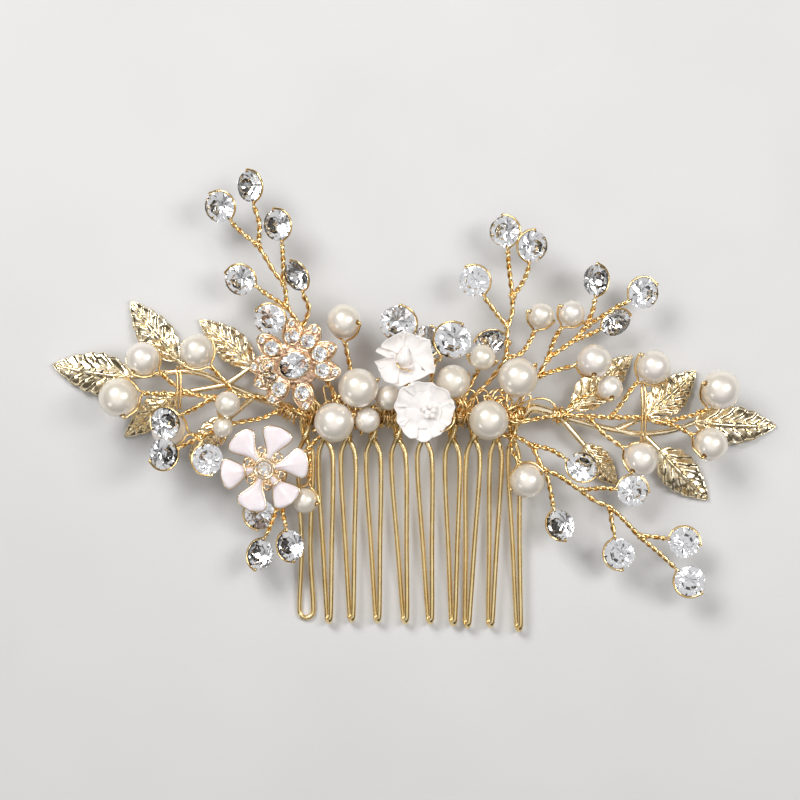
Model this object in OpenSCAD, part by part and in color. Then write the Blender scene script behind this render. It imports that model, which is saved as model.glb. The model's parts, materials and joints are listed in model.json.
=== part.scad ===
// Decorative hair comb: a wire comb with pearls, crystals, cast leaves and small flowers on twisted wires.
// Millimetres. The comb lies on its back: X along the rail, teeth towards -Y, ornaments towards +Z.

/* [Comb] */
// Length of the rail
rail_len = 38; // [36:1:40]
// Radius of the rail
rail_r = 0.8; // [0.7:0.05:0.85]
// Radius of the wire that the teeth are bent from
tooth_r = 0.45; // [0.35:0.05:0.45]
// Half of the widest gap between a tooth's legs, centre to centre
tooth_bow = 1.3; // [1.0:0.1:1.4]

/* [Wires] */
// Radius of a main twisted stem
trunk_r = 0.42; // [0.38:0.02:0.44]
// Radius of a branch that carries one bead
branch_r = 0.36; // [0.3:0.02:0.36]
// Radius of the wire through a pearl or crystal
pin_r = 0.22; // [0.18:0.01:0.24]

/* [Pearls] */
// Radius of the hole through a pearl
bore_r = 0.30; // [0.29:0.01:0.32]
// Gap between a pearl and the wire loop that carries it
loop_gap = 0.30; // [0.3:0.05:0.4]

/* [Leaves] */
// Thickness of a cast leaf
leaf_t = 0.9; // [0.7:0.1:1.0]
// Serrations along each side of a leaf
leaf_teeth = 6; // [4:1:8]

/* [Flowers] */
// Radius of the two clay flowers
clay_r = 5.25; // [4.8:0.05:5.4]
// Radius of the ring of petal stones on the cast flower
strass_ring_r = 5.0; // [4.9:0.1:5.1]
// Radius of the ring of enamel petals
enamel_ring_r = 4.9; // [4.8:0.1:5.0]

/* [Hidden] */
$fn = 24;

// The rail's axis runs along X at this Y and Z.
RAIL_Y = -3;
RAIL_Z = 3.5;
RAIL_X0 = -20;
// The knot where a tooth's two legs meet
NECK_Y = -6.6;
// Height of a hook's crown, where a stem leaves the rail
HOOK_Z = RAIL_Z + rail_r + trunk_r + 0.12;
SIDEWAYS = [0.3, 0.2, 0.93]; // no wire runs along this direction, so it fixes the corners of each ring
LOOP_STEPS = 7;
RING_STEPS = 10;
// How far a stem ends inside its loop.
FOOT_SINK = 0.03;
// How far the corners of a branch are turned from those of the stem that it leaves.
BRANCH_TURN = 17;
// Radius of the bead of wire where a stem leaves the rail.
HOOK_KNOT_R = 0.66;
// How far that bead sits above the crown, so that it clears the rail.
HOOK_KNOT_LIFT = 0.1;

// Teeth: [x at the rail, x at the tip, y at the tip, half width and lift of the end bend, share of the bow].
TEETH = [
  [-19.3, -19.2, -38.4, 1.20, 0.0, 1], [-15.8, -15.2, -39.0, 0.33, 1.8, 1],
  [-11.8, -11.2, -38.8, 0.33, 1.8, 1], [-7.4, -6.6, -38.9, 0.33, 1.8, 1],
  [-3.0, -1.7, -39.1, 0.33, 1.8, 1], [1.6, 2.7, -39.1, 0.33, 1.8, 1],
  [6.6, 6.8, -39.4, 0.33, 1.8, 1], [10.4, 9.3, -39.8, 0.33, 1.8, 0.95],
  [14.4, 13.4, -39.7, 0.33, 1.8, 0.8], [17.3, 18.4, -40.4, 0.33, 1.8, 0.75]
];

// Pearls: [centre, diameter, roll of the bore about the stem, route of the stem from its joint].
PEARLS = [
  [[-47.7, 7.4, 7.4], 6.0, 25, [[-39.2, 1.2, 5.8], [-42.6, 3.2, 6.2], [-44.2, 4.6, 6.6]]],
  [[-38.2, 8.8, 7.6], 6.0, 15, [[-31.3, 0.9, 5.8], [-32.8, 2.8, 6.0], [-35.0, 5.2, 6.4]]],
  [[-51.9, 0.6, 7.5], 7.0, 20, [[-43.9, 1.2, 6.2], [-47.3, 1.5, 6.6]]],
  [[-32.7, -0.5, 9.1], 4.5, 0, [[-35.4, 0.6, 5.8]]],
  [[-33.6, -4.6, 7.7], 3.6, 0, [[-34.5, -4.8, 5.0]]],
  [[-43.3, -4.9, 6.0], 6.0, 10, [[-37.6, -6.3, 5.6], [-39.0, -5.8, 5.8]]],
  [[-12.4, 14.0, 8.0], 6.0, -35, [[-9.0, -3.0, HOOK_Z], [-10.6, 2.0, 4.8], [-11.6, 7.0, 5.6], [-12.2, 9.6, 7.0]]],
  [[-9.9, 2.3, 9.6], 7.0, 0, [[-9.0, -3.0, HOOK_Z], [-9.4, -0.8, 4.7], [-9.5, 1.4, 4.9]]],
  [[-14.1, -3.7, 9.5], 7.0, 0, [[-14.4, -3.0, HOOK_Z]]],
  [[-8.3, -3.3, 7.8], 4.5, 0, [[-9.0, -3.0, HOOK_Z]]],
  [[-4.6, 0.6, 7.0], 4.5, 0, [[-5.2, -3.0, HOOK_Z], [-5.0, -0.8, 4.2]]],
  [[-19.3, -17.5, 5.5], 4.5, 20, [[-18.4, -12.0, 5.8], [-18.6, -14.2, 5.9]]],
  [[6.7, 3.4, 7.6], 6.0, 30, [[8.0, -3.0, HOOK_Z], [7.9, -1.4, 4.8]]],
  [[11.8, 7.6, 9.4], 4.5, 10, [[8.0, -3.0, HOOK_Z], [8.9, 1.0, 4.9], [10.6, 4.4, 5.4]]],
  [[12.9, -3.3, 9.4], 7.0, 0, [[13.0, -3.0, HOOK_Z]]],
  [[18.0, 4.1, 9.4], 7.0, 0, [[19.2, 2.6, 4.9]]],
  [[22.1, 15.0, 7.6], 4.5, 20, [[15.9, 7.6, 6.2], [18.6, 8.4, 6.2], [20.4, 10.9, 6.8]]],
  [[27.5, 15.4, 7.4], 4.5, 15, [[23.2, 7.1, 5.9], [24.2, 10.3, 6.6], [25.1, 12.0, 6.8]]],
  [[31.4, 7.0, 8.4], 6.0, -40, [[21.6, 4.4, 5.4], [24.5, 5.3, 5.8], [26.8, 5.9, 6.4]]],
  [[41.9, 6.0, 7.0], 6.0, 10, [[34.5, -2.9, 5.8], [36.4, -0.2, 6.0], [38.6, 2.8, 6.4]]],
  [[34.2, 2.2, 7.2], 4.5, -45, [[26.1, -2.6, 5.9], [28.4, 0.2, 6.2], [30.8, 1.0, 6.5]]],
  [[53.5, 2.0, 7.6], 7.0, 30, [[49.6, -2.3, 6.0], [51.2, -1.8, 6.2]]],
  [[51.9, -7.6, 7.0], 6.0, -35, [[43.2, -3.7, 5.8], [46.3, -4.6, 6.0], [48.4, -5.8, 6.3]]],
  [[39.7, -10.2, 6.8], 6.0, -30, [[30.3, -2.6, 5.8], [33.1, -5.6, 5.9], [35.8, -7.6, 6.2]]],
  [[19.7, -14.0, 7.6], 6.0, 20, [[16.8, -6.0, 5.6], [17.0, -8.6, 5.9], [17.8, -9.9, 6.2]]]
];

// Crystals by spray: [centre, diameter, roll about the stem, side of the folded leg, route from its joint].
CRYSTALS_LEFT_TOP = [
  [[-28.9, 37.6, 7.6], 5.5, -38, 1, [[-27.4, 27.2, 7.6], [-27.2, 31.0, 7.8], [-28.1, 33.8, 7.7]]],
  [[-34.2, 34.0, 7.2], 5.5, -20, 1, [[-27.4, 27.2, 7.6], [-30.4, 29.6, 7.5], [-31.8, 31.0, 7.4]]],
  [[-24.1, 30.8, 7.8], 5.5, -30, 1, [[-22.9, 20.2, 7.6], [-23.0, 23.5, 7.9], [-23.1, 26.9, 7.9]]],
  [[-30.6, 21.2, 6.8], 5.5, -20, 1, [[-22.2, 16.4, 7.4], [-26.4, 19.0, 7.2], [-27.4, 19.8, 7.1]]],
  [[-20.7, 21.8, 10.2], 5.5, -45, 1, [[-19.8, 12.6, 6.8], [-18.6, 16.1, 8.4], [-19.2, 17.9, 9.3]]],
  [[-25.4, 14.3, 7.4], 5.5, -15, 1, [[-19.8, 12.6, 6.8], [-21.6, 12.0, 7.2]]]
];
CRYSTALS_LEFT_MID = [
  [[-43.3, -3.8, 11.8], 5.5, 0, 1, [[-35.4, 0.6, 5.8], [-38.0, -1.0, 7.5], [-40.2, -2.2, 9.6]]],
  [[-43.8, -9.2, 9.6], 5.5, -15, -1, [[-37.6, -6.3, 5.6], [-40.3, -7.6, 7.6]]],
  [[-36.3, -10.2, 6.4], 5.5, 0, 1, [[-37.6, -6.3, 5.6]]]
];
CRYSTALS_LEFT_LOW = [
  [[-27.3, -19.9, 4.2], 5.5, 0, 1, [[-24.6, -11.2, 6.0], [-26.9, -15.2, 5.2]]],
  [[-27.1, -26.9, 6.2], 5.5, 35, 1, [[-23.4, -16.5, 5.6], [-25.0, -21.0, 5.9], [-25.9, -22.8, 6.0]]],
  [[-21.8, -25.3, 6.8], 5.5, 30, 1, [[-23.4, -16.5, 5.6], [-23.1, -20.0, 6.0], [-22.8, -21.4, 6.3]]]
];
CRYSTALS_CENTRE = [
  [[-3.0, 13.6, 7.6], 6.5, 0, 1, [[-1.4, 3.0, 5.0], [-3.6, 6.8, 5.4], [-3.4, 9.4, 6.0]]],
  [[6.6, 10.6, 8.6], 6.5, 0, -1, [[4.1, -3.0, HOOK_Z], [2.9, 3.0, 4.9], [3.6, 7.0, 6.4], [4.6, 7.6, 7.4]]],
  [[1.9, 10.5, 5.6], 5.5, 10, 1, [[-1.4, 3.0, 5.0], [0.6, 6.4, 5.0]]]
];
CRYSTALS_RIGHT_TOP_INNER = [
  [[13.3, 10.4, 4.6], 5.5, 40, 1, [[16.1, 10.2, 6.5], [16.9, 10.4, 5.6]]],
  [[10.4, 21.0, 7.4], 5.5, -10, 1, [[16.3, 13.0, 6.8], [14.3, 15.4, 7.1], [12.6, 17.6, 7.2]]],
  [[15.7, 29.7, 7.2], 5.5, -20, 1, [[17.1, 18.1, 7.1], [16.5, 23.2, 7.3], [16.4, 25.6, 7.3]]],
  [[20.6, 27.1, 8.2], 5.5, 20, -1, [[17.1, 18.1, 7.1], [19.2, 21.4, 7.6], [19.9, 23.2, 7.9]]]
];
CRYSTALS_RIGHT_TOP_OUTER = [
  [[31.7, 21.2, 7.4], 5.5, 35, 1, [[30.1, 13.2, 6.8], [31.2, 16.0, 7.1], [31.5, 17.2, 7.2]]],
  [[40.0, 18.9, 7.6], 5.5, 10, -1, [[30.1, 13.2, 6.8], [33.4, 15.2, 8.0], [35.6, 16.6, 8.4], [37.0, 17.2, 8.2]]],
  [[35.3, 13.8, 5.9], 5.5, 40, -1, [[28.0, 10.8, 6.6], [30.4, 11.6, 6.4], [31.6, 12.1, 6.3]]]
];
CRYSTALS_RIGHT_LOW = [
  [[25.5, -21.7, 6.4], 5.5, 35, 1, [[22.8, -12.0, 6.3], [23.5, -14.4, 6.2], [24.0, -17.8, 6.3]]],
  [[29.3, -11.5, 6.8], 5.5, -25, 1, [[20.4, -7.8, 6.0], [23.6, -8.4, 6.4], [25.6, -9.6, 6.6]]],
  [[38.3, -15.8, 5.0], 5.5, 0, -1, [[28.9, -15.6, 6.3], [33.1, -15.3, 5.8], [34.2, -15.4, 5.5]]],
  [[35.9, -26.8, 6.0], 5.5, 15, 1, [[34.3, -18.7, 6.2], [34.5, -21.0, 6.1], [34.9, -22.8, 6.0]]],
  [[47.3, -24.8, 6.0], 5.5, -10, -1, [[39.2, -23.6, 6.0], [42.0, -23.8, 6.0], [43.2, -24.0, 6.0]]],
  [[48.3, -31.6, 6.0], 5.5, 10, 1, [[39.2, -23.6, 6.0], [42.6, -26.4, 6.0], [45.2, -28.8, 6.0]]]
];

// Main stems of the sprays. Each starts at a hook round the rail.
TRUNK_LEFT_TOP = [
  [-17.0, -3.0, HOOK_Z], [-18.4, 3.0, 5.0], [-19.8, 12.6, 6.8], [-22.2, 16.4, 7.4], [-22.9, 20.2, 7.6],
  [-24.9, 23.1, 7.7], [-27.4, 27.2, 7.6]
];
TRUNK_LEFT_MID = [
  [-18.2, -3.0, HOOK_Z], [-18.9, -2.6, 5.9], [-22.6, -0.8, 5.6], [-26.7, 0.5, 5.6], [-31.3, 0.9, 5.8], [-35.4, 0.6, 5.8],
  [-39.2, 1.2, 5.8], [-43.9, 1.2, 6.2]
];
TRUNK_LEFT_MID_LOWER = [
  [-22.6, -0.8, 5.6], [-26.6, -2.9, 5.2], [-31.3, -3.8, 5.0], [-34.5, -4.8, 5.0], [-37.6, -6.3, 5.6]
];
TRUNK_LEFT_LOW = [
  [-14.4, -3.0, HOOK_Z], [-16.2, -5.8, 5.1], [-18.4, -8.3, 5.6], [-18.4, -12.0, 5.8]
];
TRUNK_ENAMEL_FLOWER = [[-18.4, -8.3, 5.6], [-22.4, -10.4, 5.8], [-24.6, -11.2, 6.2], [-26.3, -11.8, 7.4]];
TRUNK_LEFT_LOW_TIP = [[-22.4, -10.4, 5.8], [-23.4, -16.5, 5.6]];
TRUNK_STRASS_FLOWER = [[-13.2, -3.0, HOOK_Z], [-15.0, 3.0, 6.0], [-17.4, 5.6, 7.2], [-19.6, 6.2, 7.9]];
TRUNK_ROSE = [[-0.7, -3.0, HOOK_Z], [-1.4, 3.0, 5.0], [-1.7, 7.4, 6.5]];
TRUNK_BLOSSOM = [[4.1, -3.0, HOOK_Z], [2.4, -2.0, 6.6], [1.4, -1.6, 8.5]];
TRUNK_RIGHT_TOP_INNER = [
  [9.2, -3.0, HOOK_Z], [9.7, -0.2, 4.9], [13.0, 3.4, 5.2], [15.9, 7.6, 6.2], [16.1, 10.2, 6.5], [16.3, 13.0, 6.8],
  [17.0, 15.4, 7.0], [17.1, 18.1, 7.1]
];
TRUNK_RIGHT_TOP_OUTER = [
  [11.8, -3.0, HOOK_Z], [11.9, -0.6, 4.7], [15.5, 0.2, 4.9], [19.2, 2.6, 4.9], [21.6, 4.4, 5.4], [23.2, 7.1, 5.9],
  [25.1, 8.7, 6.2], [28.0, 10.8, 6.6], [30.1, 13.2, 6.8]
];
TRUNK_RIGHT_MID = [
  [15.5, -3.0, HOOK_Z], [15.9, -3.2, 5.9], [18.6, -3.6, 6.2], [22.5, -2.9, 6.2], [26.1, -2.6, 5.9], [30.3, -2.6, 5.8],
  [34.5, -2.9, 5.8], [39.5, -2.9, 5.8], [43.2, -3.7, 5.8], [47.1, -2.9, 5.9], [49.6, -2.3, 6.0]
];
TRUNK_RIGHT_LOW = [
  [13.0, -3.0, HOOK_Z], [13.1, -5.4, 5.4], [15.6, -6.0, 5.6], [16.8, -6.0, 5.6], [20.4, -7.8, 6.0], [22.0, -10.9, 6.2],
  [22.8, -12.0, 6.3], [25.3, -13.1, 6.3], [28.9, -15.6, 6.3], [31.8, -17.6, 6.2], [34.3, -18.7, 6.2],
  [37.6, -21.8, 6.1], [39.2, -23.6, 6.0]
];

// Straight tie wires that cross the two middle sprays, in pairs.
TIES_LEFT = [for (x = [-41.7, -41.1]) [[x, -0.8, 6.35], [x, 5.6, 6.35]]];
TIES_RIGHT = [for (x = [39.8, 40.4]) [[x, -6.6, 6.3], [x, 2.6, 6.3]]];

// Leaf castings: stems as routes, leaves as [base, tip, width].
LEFT_STEMS = [
  [[-28.2, 0.9, 3.6], [-33.2, 2.9, 3.5], [-38.8, 5.1, 3.4], [-50.2, 4.2, 3.0]],
  [[-38.8, 5.1, 3.4], [-42.0, 7.4, 3.0]],
  [[-33.2, 2.9, 3.5], [-28.5, 6.2, 3.2]],
  [[-33.2, 2.9, 3.5], [-42.3, 1.2, 3.0]],
  [[-28.2, 0.9, 3.6], [-32.6, -2.9, 3.0]]
];
LEFT_LEAVES = [
  [[-50.2, 4.2, 3.0], [-64.2, 6.5, 0.6], 7.4],
  [[-42.0, 7.4, 3.0], [-50.4, 17.8, 0.6], 6.3],
  [[-28.5, 6.2, 3.2], [-38.2, 14.5, 0.6], 5.8],
  [[-42.3, 1.2, 3.0], [-51.5, -6.3, 0.6], 5.4],
  [[-32.6, -2.9, 3.0], [-40.1, -10.4, 0.9], 5.0]
];
RIGHT_STEMS = [
  [[25.3, -2.5, 4.0], [31.2, -4.2, 3.8], [35.4, -5.1, 3.6], [40.1, -5.8, 3.4], [45.7, -5.1, 3.2], [49.5, -3.7, 3.0]],
  [[40.1, -5.8, 3.4], [43.2, -8.7, 3.0]],
  [[35.4, -5.1, 3.6], [40.9, -2.6, 3.0]],
  [[25.3, -2.5, 4.0], [28.0, -1.4, 3.4]],
  [[25.3, -2.5, 4.0], [30.0, -7.9, 3.0]]
];
RIGHT_LEAVES = [
  [[49.5, -3.7, 3.0], [64.2, -4.4, 0.6], 7.0],
  [[43.2, -8.7, 3.0], [52.1, -17.5, 0.6], 6.7],
  [[40.9, -2.6, 3.0], [49.9, 5.4, 0.6], 6.5],
  [[28.0, -1.4, 3.4], [38.7, 8.2, 0.6], 6.5],
  [[30.0, -7.9, 3.0], [35.9, -14.9, 0.9], 5.0]
];
LEAF_ROOT_LEFT = [[RAIL_X0 - 0.9, RAIL_Y, RAIL_Z], [-24.0, -0.6, 3.6], [-28.2, 0.9, 3.6]];
LEAF_ROOT_RIGHT = [
  [RAIL_X0 + rail_len + 1.0, RAIL_Y, RAIL_Z], [20.4, -1.3, 3.8], [23.1, -1.7, 4.0], [25.3, -2.5, 4.0]
];
ROOT_R = 0.9;
LEAF_STEM_R = 0.58;

// The cast flower: centre, tilt, and the angle of each petal.
STRASS_AT = [-20.8, 6.4, 9.2];
STRASS_TILT = [8, -10, 0];
STRASS_ANGLES = [93, 59, 24, -10, -76, -125, -154, -178, 142];
STRASS_TIP_R = 7.3;
// The enamel flower: centre and the angle of its first petal.
ENAMEL_AT = [-26.3, -11.8, 7.9];
ENAMEL_TURN = 9;
ENAMEL_PETALS = 6;
// The clay flowers: centre of the underside of each.
ROSE_AT = [-1.7, 7.4, 7.0];
BLOSSOM_AT = [1.4, -1.6, 9.0];
CLAY_PETALS = 6;

function azimuth(v) = atan2(v.y, v.x);
function unit(v) = v / norm(v);
// The loop's frame has the stem along -Y: turn about Z, then the drop towards the table.
function stem_turn(v) = atan2(v.x, -v.y);
function stem_drop(v) = asin(-v.z / norm(v));
function last(list) = list[len(list) - 1];
// A stem ends a little inside the loop that it carries.
function foot(centre, reach, route) = centre + (reach - FOOT_SINK) * unit(last(route) - centre);

// A wire bent along a route: one ring of corners at each point, square to the route there.
function heading(route, i) = unit(
  (i < len(route) - 1 ? unit(route[i + 1] - route[i]) : [0, 0, 0])
  + (i > 0 ? unit(route[i] - route[i - 1]) : [0, 0, 0]));
function ring_points(route, i, r, sides, turn) =
  let (along = heading(route, i), u = unit(cross(along, SIDEWAYS)), w = cross(along, u))
  [for (k = [0 : sides - 1]) let (a = 360 / sides * k + turn) route[i] + r * (cos(a) * u + sin(a) * w)];
function ring_faces(j, sides) = [for (k = [0 : sides - 1])
  let (a = j * sides + k, b = j * sides + (k + 1) % sides) [a, a + sides, b + sides, b]];

module bent_wire(route, r, sides = 6, turn = 0) {
  rings = len(route);
  polyhedron(
    [for (i = [0 : rings - 1], p = ring_points(route, i, r, sides, turn)) p],
    concat(
      [[for (k = [0 : sides - 1]) k]],
      [for (j = [0 : rings - 2], f = ring_faces(j, sides)) f],
      [[for (k = [sides - 1 : -1 : 0]) (rings - 1) * sides + k]]
    )
  );
}

// Wires that touch in one spray are welded into a single shape.
module welded() {
  resize([0, 0, 0])
    children();
}

// A wire ring round the rail, closed on itself.
module rail_ring(x, r) {
  turn_r = rail_r + 0.05 + r;
  bent_wire([for (a = [0 : 360 / RING_STEPS : 360]) [x, RAIL_Y + turn_r * sin(a), RAIL_Z + turn_r * cos(a)]], r);
}

// Places children in a bead's frame: stem along -Y, rolled about the stem.
module bead_frame(centre, route, roll) {
  v = last(route) - centre;
  translate(centre)
    rotate([0, 0, stem_turn(v)])
      rotate([stem_drop(v), 0, 0])
        rotate([0, roll, 0])
          children();
}

// Half a ring about the origin in the XY plane, starting at the angle from.
module half_ring(radius, from) {
  bent_wire([for (a = [from : 180 / LOOP_STEPS : from + 180]) radius * [cos(a), sin(a), 0]], pin_r);
}

function pearl_reach(p) = p[1] / 2 + loop_gap + pin_r;

// The loop that hugs a pearl on its stem's side, and the stem.
module pearl_wire(p) {
  reach = pearl_reach(p);
  bead_frame(p[0], p[3], p[2])
    half_ring(reach, 180);
  bent_wire(concat(p[3], [foot(p[0], reach + 0.1, p[3])]), branch_r, 6, BRANCH_TURN);
}

// The straight length of wire that a pearl turns on.
module pearl_pin(p) {
  length = 2 * (pearl_reach(p) - pin_r);
  bead_frame(p[0], p[3], p[2])
    rotate([0, 90, 0])
      cylinder(h = length, r = pin_r, center = true);
}

// The wire through a crystal along its stem, folded back round one side.
module crystal_wire(c) {
  reach = c[1] / 2 + 0.1 + pin_r;
  bead_frame(c[0], c[4], c[2]) {
    half_ring(reach, c[3] > 0 ? -90 : 90);
    bent_wire([[0, -reach, 0], [0, reach, 0]], pin_r);
  }
  bent_wire(concat(c[4], [foot(c[0], reach, c[4])]), branch_r, 6, BRANCH_TURN);
}

module spray_wires(trunks, hooks, pearls, crystals, ties) {
  for (t = ties)
    bent_wire(t, pin_r);
  for (x = hooks) {
    rail_ring(x, trunk_r);
    translate([x, RAIL_Y, HOOK_Z + HOOK_KNOT_LIFT])
      sphere(r = HOOK_KNOT_R, $fn = 8);
  }
  for (i = [0 : len(trunks) - 1])
    bent_wire(trunks[i], trunk_r, 8, BRANCH_TURN * i);
  for (i = pearls)
    pearl_wire(PEARLS[i - 1]);
  for (c = crystals)
    crystal_wire(c);
}

// A brilliant: octagonal table, crown, thin girdle and a pointed back.
module brilliant(d) {
  sides = 8;
  r = d / 2;
  rings = [[0.56 * r, 0.32 * r], [r, 0.04 * r], [r, -0.04 * r], [0.12 * r, -0.66 * r]];
  points = [for (g = rings, k = [0 : sides - 1])
    let (a = 360 / sides * (k + 0.5)) [g[0] * cos(a), g[0] * sin(a), g[1]]];
  last_ring = (len(rings) - 1) * sides;
  polyhedron(
    points,
    concat(
      [[for (k = [sides - 1 : -1 : 0]) k]],
      [for (j = [0 : len(rings) - 2], k = [0 : sides - 1])
        let (n = (k + 1) % sides, a = j * sides, b = a + sides) [a + k, a + n, b + n, b + k]],
      [[for (k = [0 : sides - 1]) last_ring + k]]
    )
  );
}

// A drilled crystal on its wire.
module crystal(c) {
  bead_frame(c[0], c[4], c[2])
    difference() {
      brilliant(c[1]);
      rotate([90, 0, 0])
        cylinder(h = 2 * c[1], r = bore_r, center = true);
    }
}

module crystals(list) {
  color("whitesmoke")
    for (c = list)
      crystal(c);
}

// A drilled pearl: the hole runs along the sphere's own poles.
module pearl(i) {
  p = PEARLS[i - 1];
  color("ivory")
    bead_frame(p[0], p[3], p[2])
      rotate([0, 90, 0])
        difference() {
          sphere(d = p[1]);
          cylinder(h = 2 * p[1], r = bore_r, center = true);
        }
}

module pearl_pins() {
  color("gold")
    for (p = PEARLS)
      pearl_pin(p);
}

module comb_rail() {
  color("goldenrod")
    translate([RAIL_X0, RAIL_Y, RAIL_Z])
      rotate([0, 90, 0])
        cylinder(h = rail_len, r = rail_r);
}

// One hairpin: legs bow apart below the neck and close towards the end bend.
function centre_x(t, y) = t[0] + (t[1] - t[0]) * (y - NECK_Y) / (t[2] - NECK_Y);
function tooth_leg(t, side) = [for (p = [[NECK_Y, 0.3, 3.3], [-8.8, 0.85, 3.1], [-11.6, 1, 2.9], [-26, 0.6, 1.6]])
  [centre_x(t, p[0]) + side * t[5] * tooth_bow * p[1], p[0],
   p[2] + (side + 1) * t[4] / 4 * (NECK_Y - p[0]) / (NECK_Y + 26)]];
function bend_r(t) = max(t[3], t[4] / 2);
function end_bend(t) = [for (a = [0 : 60 : 180])
  [t[1] - t[3] * cos(a), t[2] + bend_r(t) * (1 - sin(a)), tooth_r + t[4] * (1 - cos(a)) / 2]];

module tooth(t) {
  knob_r = 0.95;
  shank_r = 0.6;
  left = tooth_leg(t, -1);
  right = tooth_leg(t, 1);
  rail_ring(t[0], tooth_r);
  bent_wire([[t[0], RAIL_Y - rail_r - tooth_r - 0.1, RAIL_Z], [t[0], NECK_Y, 3.3]], shank_r);
  translate([t[0], NECK_Y + 0.2, 3.3])
    sphere(r = knob_r, $fn = 8);
  bent_wire(concat(left, end_bend(t), [for (k = [len(right) - 1 : -1 : 0]) right[k]]), tooth_r);
}

module comb_teeth() {
  color("gold")
    for (t = TEETH)
      welded()
        tooth(t);
}

// Turns of the binding wire in the free places along the rail.
module binding_wire() {
  binding_r = 0.3;
  color("darkgoldenrod")
    for (x = [-10.2, -6.2, -4.2, -1.8, 0.4, 2.9, 5.2])
      translate([x, RAIL_Y, RAIL_Z])
        rotate([0, 90, 0])
          rotate_extrude()
            translate([rail_r + 0.03 + binding_r, 0])
              circle(r = binding_r);
}

// Half outline of a leaf, from base to tip: a bulging side cut into serrations.
function leaf_half(length, half_w, side) = [for (k = [0 : leaf_teeth - 1], notch = [0, 1])
  let (u = (k + 0.15 + 0.8 * notch) / leaf_teeth, swell = sin(180 * pow(u, 0.8)) * (1 - 0.15 * u))
  [length * u, side * half_w * (swell * (1 - 0.12 * (1 - notch)) + 0.08 * (1 - u))]];

module leaf(base, tip, width) {
  v = tip - base;
  half = leaf_half(norm(v), width / 2, 1);
  mirrored = leaf_half(norm(v), width / 2, -1);
  translate(base)
    rotate([0, asin(-v.z / norm(v)), azimuth(v)]) {
      linear_extrude(leaf_t, center = true)
        polygon(concat([[0, 0]], half, [[norm(v), 0]],
          [for (k = [len(mirrored) - 1 : -1 : 0]) mirrored[k]]));
      // midrib
      translate([0.4, 0, leaf_t * 0.35])
        rotate([0, 90, 0])
          cylinder(h = norm(v) * 0.9, r = 0.35, $fn = 8);
    }
}

module leaf_branch(root, stems, leaves) {
  color("palegoldenrod")
    welded() {
      bent_wire(root, ROOT_R, 8);
      for (s = stems)
        bent_wire(s, LEAF_STEM_R, 8);
      for (l = leaves)
        leaf(l[0], l[1], l[2]);
    }
}

module leaf_branch_left() {
  leaf_branch(LEAF_ROOT_LEFT, LEFT_STEMS, LEFT_LEAVES);
}

module leaf_branch_right() {
  leaf_branch(LEAF_ROOT_RIGHT, RIGHT_STEMS, RIGHT_LEAVES);
}

module wires(trunks, hooks, pearls, crystals, ties = []) {
  color("gold")
    welded()
      spray_wires(trunks, hooks, pearls, crystals, ties);
}

module wires_left_top() {
  wires([TRUNK_LEFT_TOP], [-17.0], [], CRYSTALS_LEFT_TOP);
}

module wires_left_mid() {
  wires([TRUNK_LEFT_MID, TRUNK_LEFT_MID_LOWER], [-18.2], [1, 2, 3, 4, 5, 6], CRYSTALS_LEFT_MID, TIES_LEFT);
}

module wires_left_low() {
  wires([TRUNK_LEFT_LOW, TRUNK_ENAMEL_FLOWER, TRUNK_LEFT_LOW_TIP], [-14.4], [9, 12], CRYSTALS_LEFT_LOW);
}

module wires_centre_left() {
  wires([TRUNK_STRASS_FLOWER], [-13.2, -9.0, -5.2], [7, 8, 10, 11], []);
}

module wires_centre_right() {
  wires([TRUNK_ROSE, TRUNK_BLOSSOM], [-0.7, 4.1, 8.0], [13, 14], CRYSTALS_CENTRE);
}

module wires_right_top_inner() {
  wires([TRUNK_RIGHT_TOP_INNER], [9.2], [17], CRYSTALS_RIGHT_TOP_INNER);
}

module wires_right_top_outer() {
  wires([TRUNK_RIGHT_TOP_OUTER], [11.8], [16, 18, 19], CRYSTALS_RIGHT_TOP_OUTER);
}

module wires_right_mid() {
  wires([TRUNK_RIGHT_MID], [15.5], [20, 21, 22, 23, 24], [], TIES_RIGHT);
}

module wires_right_low() {
  wires([TRUNK_RIGHT_LOW], [13.0], [15, 25], CRYSTALS_RIGHT_LOW);
}

module on_strass_flower() {
  translate(STRASS_AT)
    rotate(STRASS_TILT)
      children();
}

// Cast flower plate with a cup for each stone.
module strass_flower_base() {
  color("rosybrown")
    on_strass_flower()
      difference() {
        union() {
          translate([0, 0, -0.6])
            cylinder(h = 1.2, r = 4.3);
          for (a = STRASS_ANGLES)
            rotate([0, 0, a]) {
              translate([strass_ring_r, 0, -0.5])
                cylinder(h = 1.5, r = 1.65);
              translate([STRASS_TIP_R, 0, -0.4])
                cylinder(h = 1.2, r = 0.85);
              translate([strass_ring_r, -0.6, -0.4])
                cube([STRASS_TIP_R - strass_ring_r, 1.2, 0.9]);
            }
          cylinder(h = 1.6, r = 3.0);
        }
        translate([0, 0, 0.2])
          cylinder(h = 2, r = 2.7);
        for (a = STRASS_ANGLES)
          rotate([0, 0, a]) {
            translate([strass_ring_r, 0, 0.3])
              cylinder(h = 1, r = 1.3);
            translate([STRASS_TIP_R, 0, 0.4])
              cylinder(h = 1, r = 0.6);
          }
      }
}

module strass_petal_stones() {
  color("whitesmoke")
    on_strass_flower()
      for (a = STRASS_ANGLES)
        rotate([0, 0, a]) {
          translate([strass_ring_r, 0, 0.3])
            stone(1.25, 1.2);
          translate([STRASS_TIP_R, 0, 0.4])
            stone(0.55, 0.6);
        }
}

module strass_centre_stone() {
  color("whitesmoke")
    on_strass_flower()
      translate([0, 0, 0.2])
        stone(2.65, 2.4);
}

// A stone that sits flat in a cup: straight lower half, domed crown.
module stone(r, h) {
  cylinder(h = h * 0.6, r = r);
  translate([0, 0, h * 0.6])
    cylinder(h = h * 0.4, r1 = r, r2 = r * 0.6);
}

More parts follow.
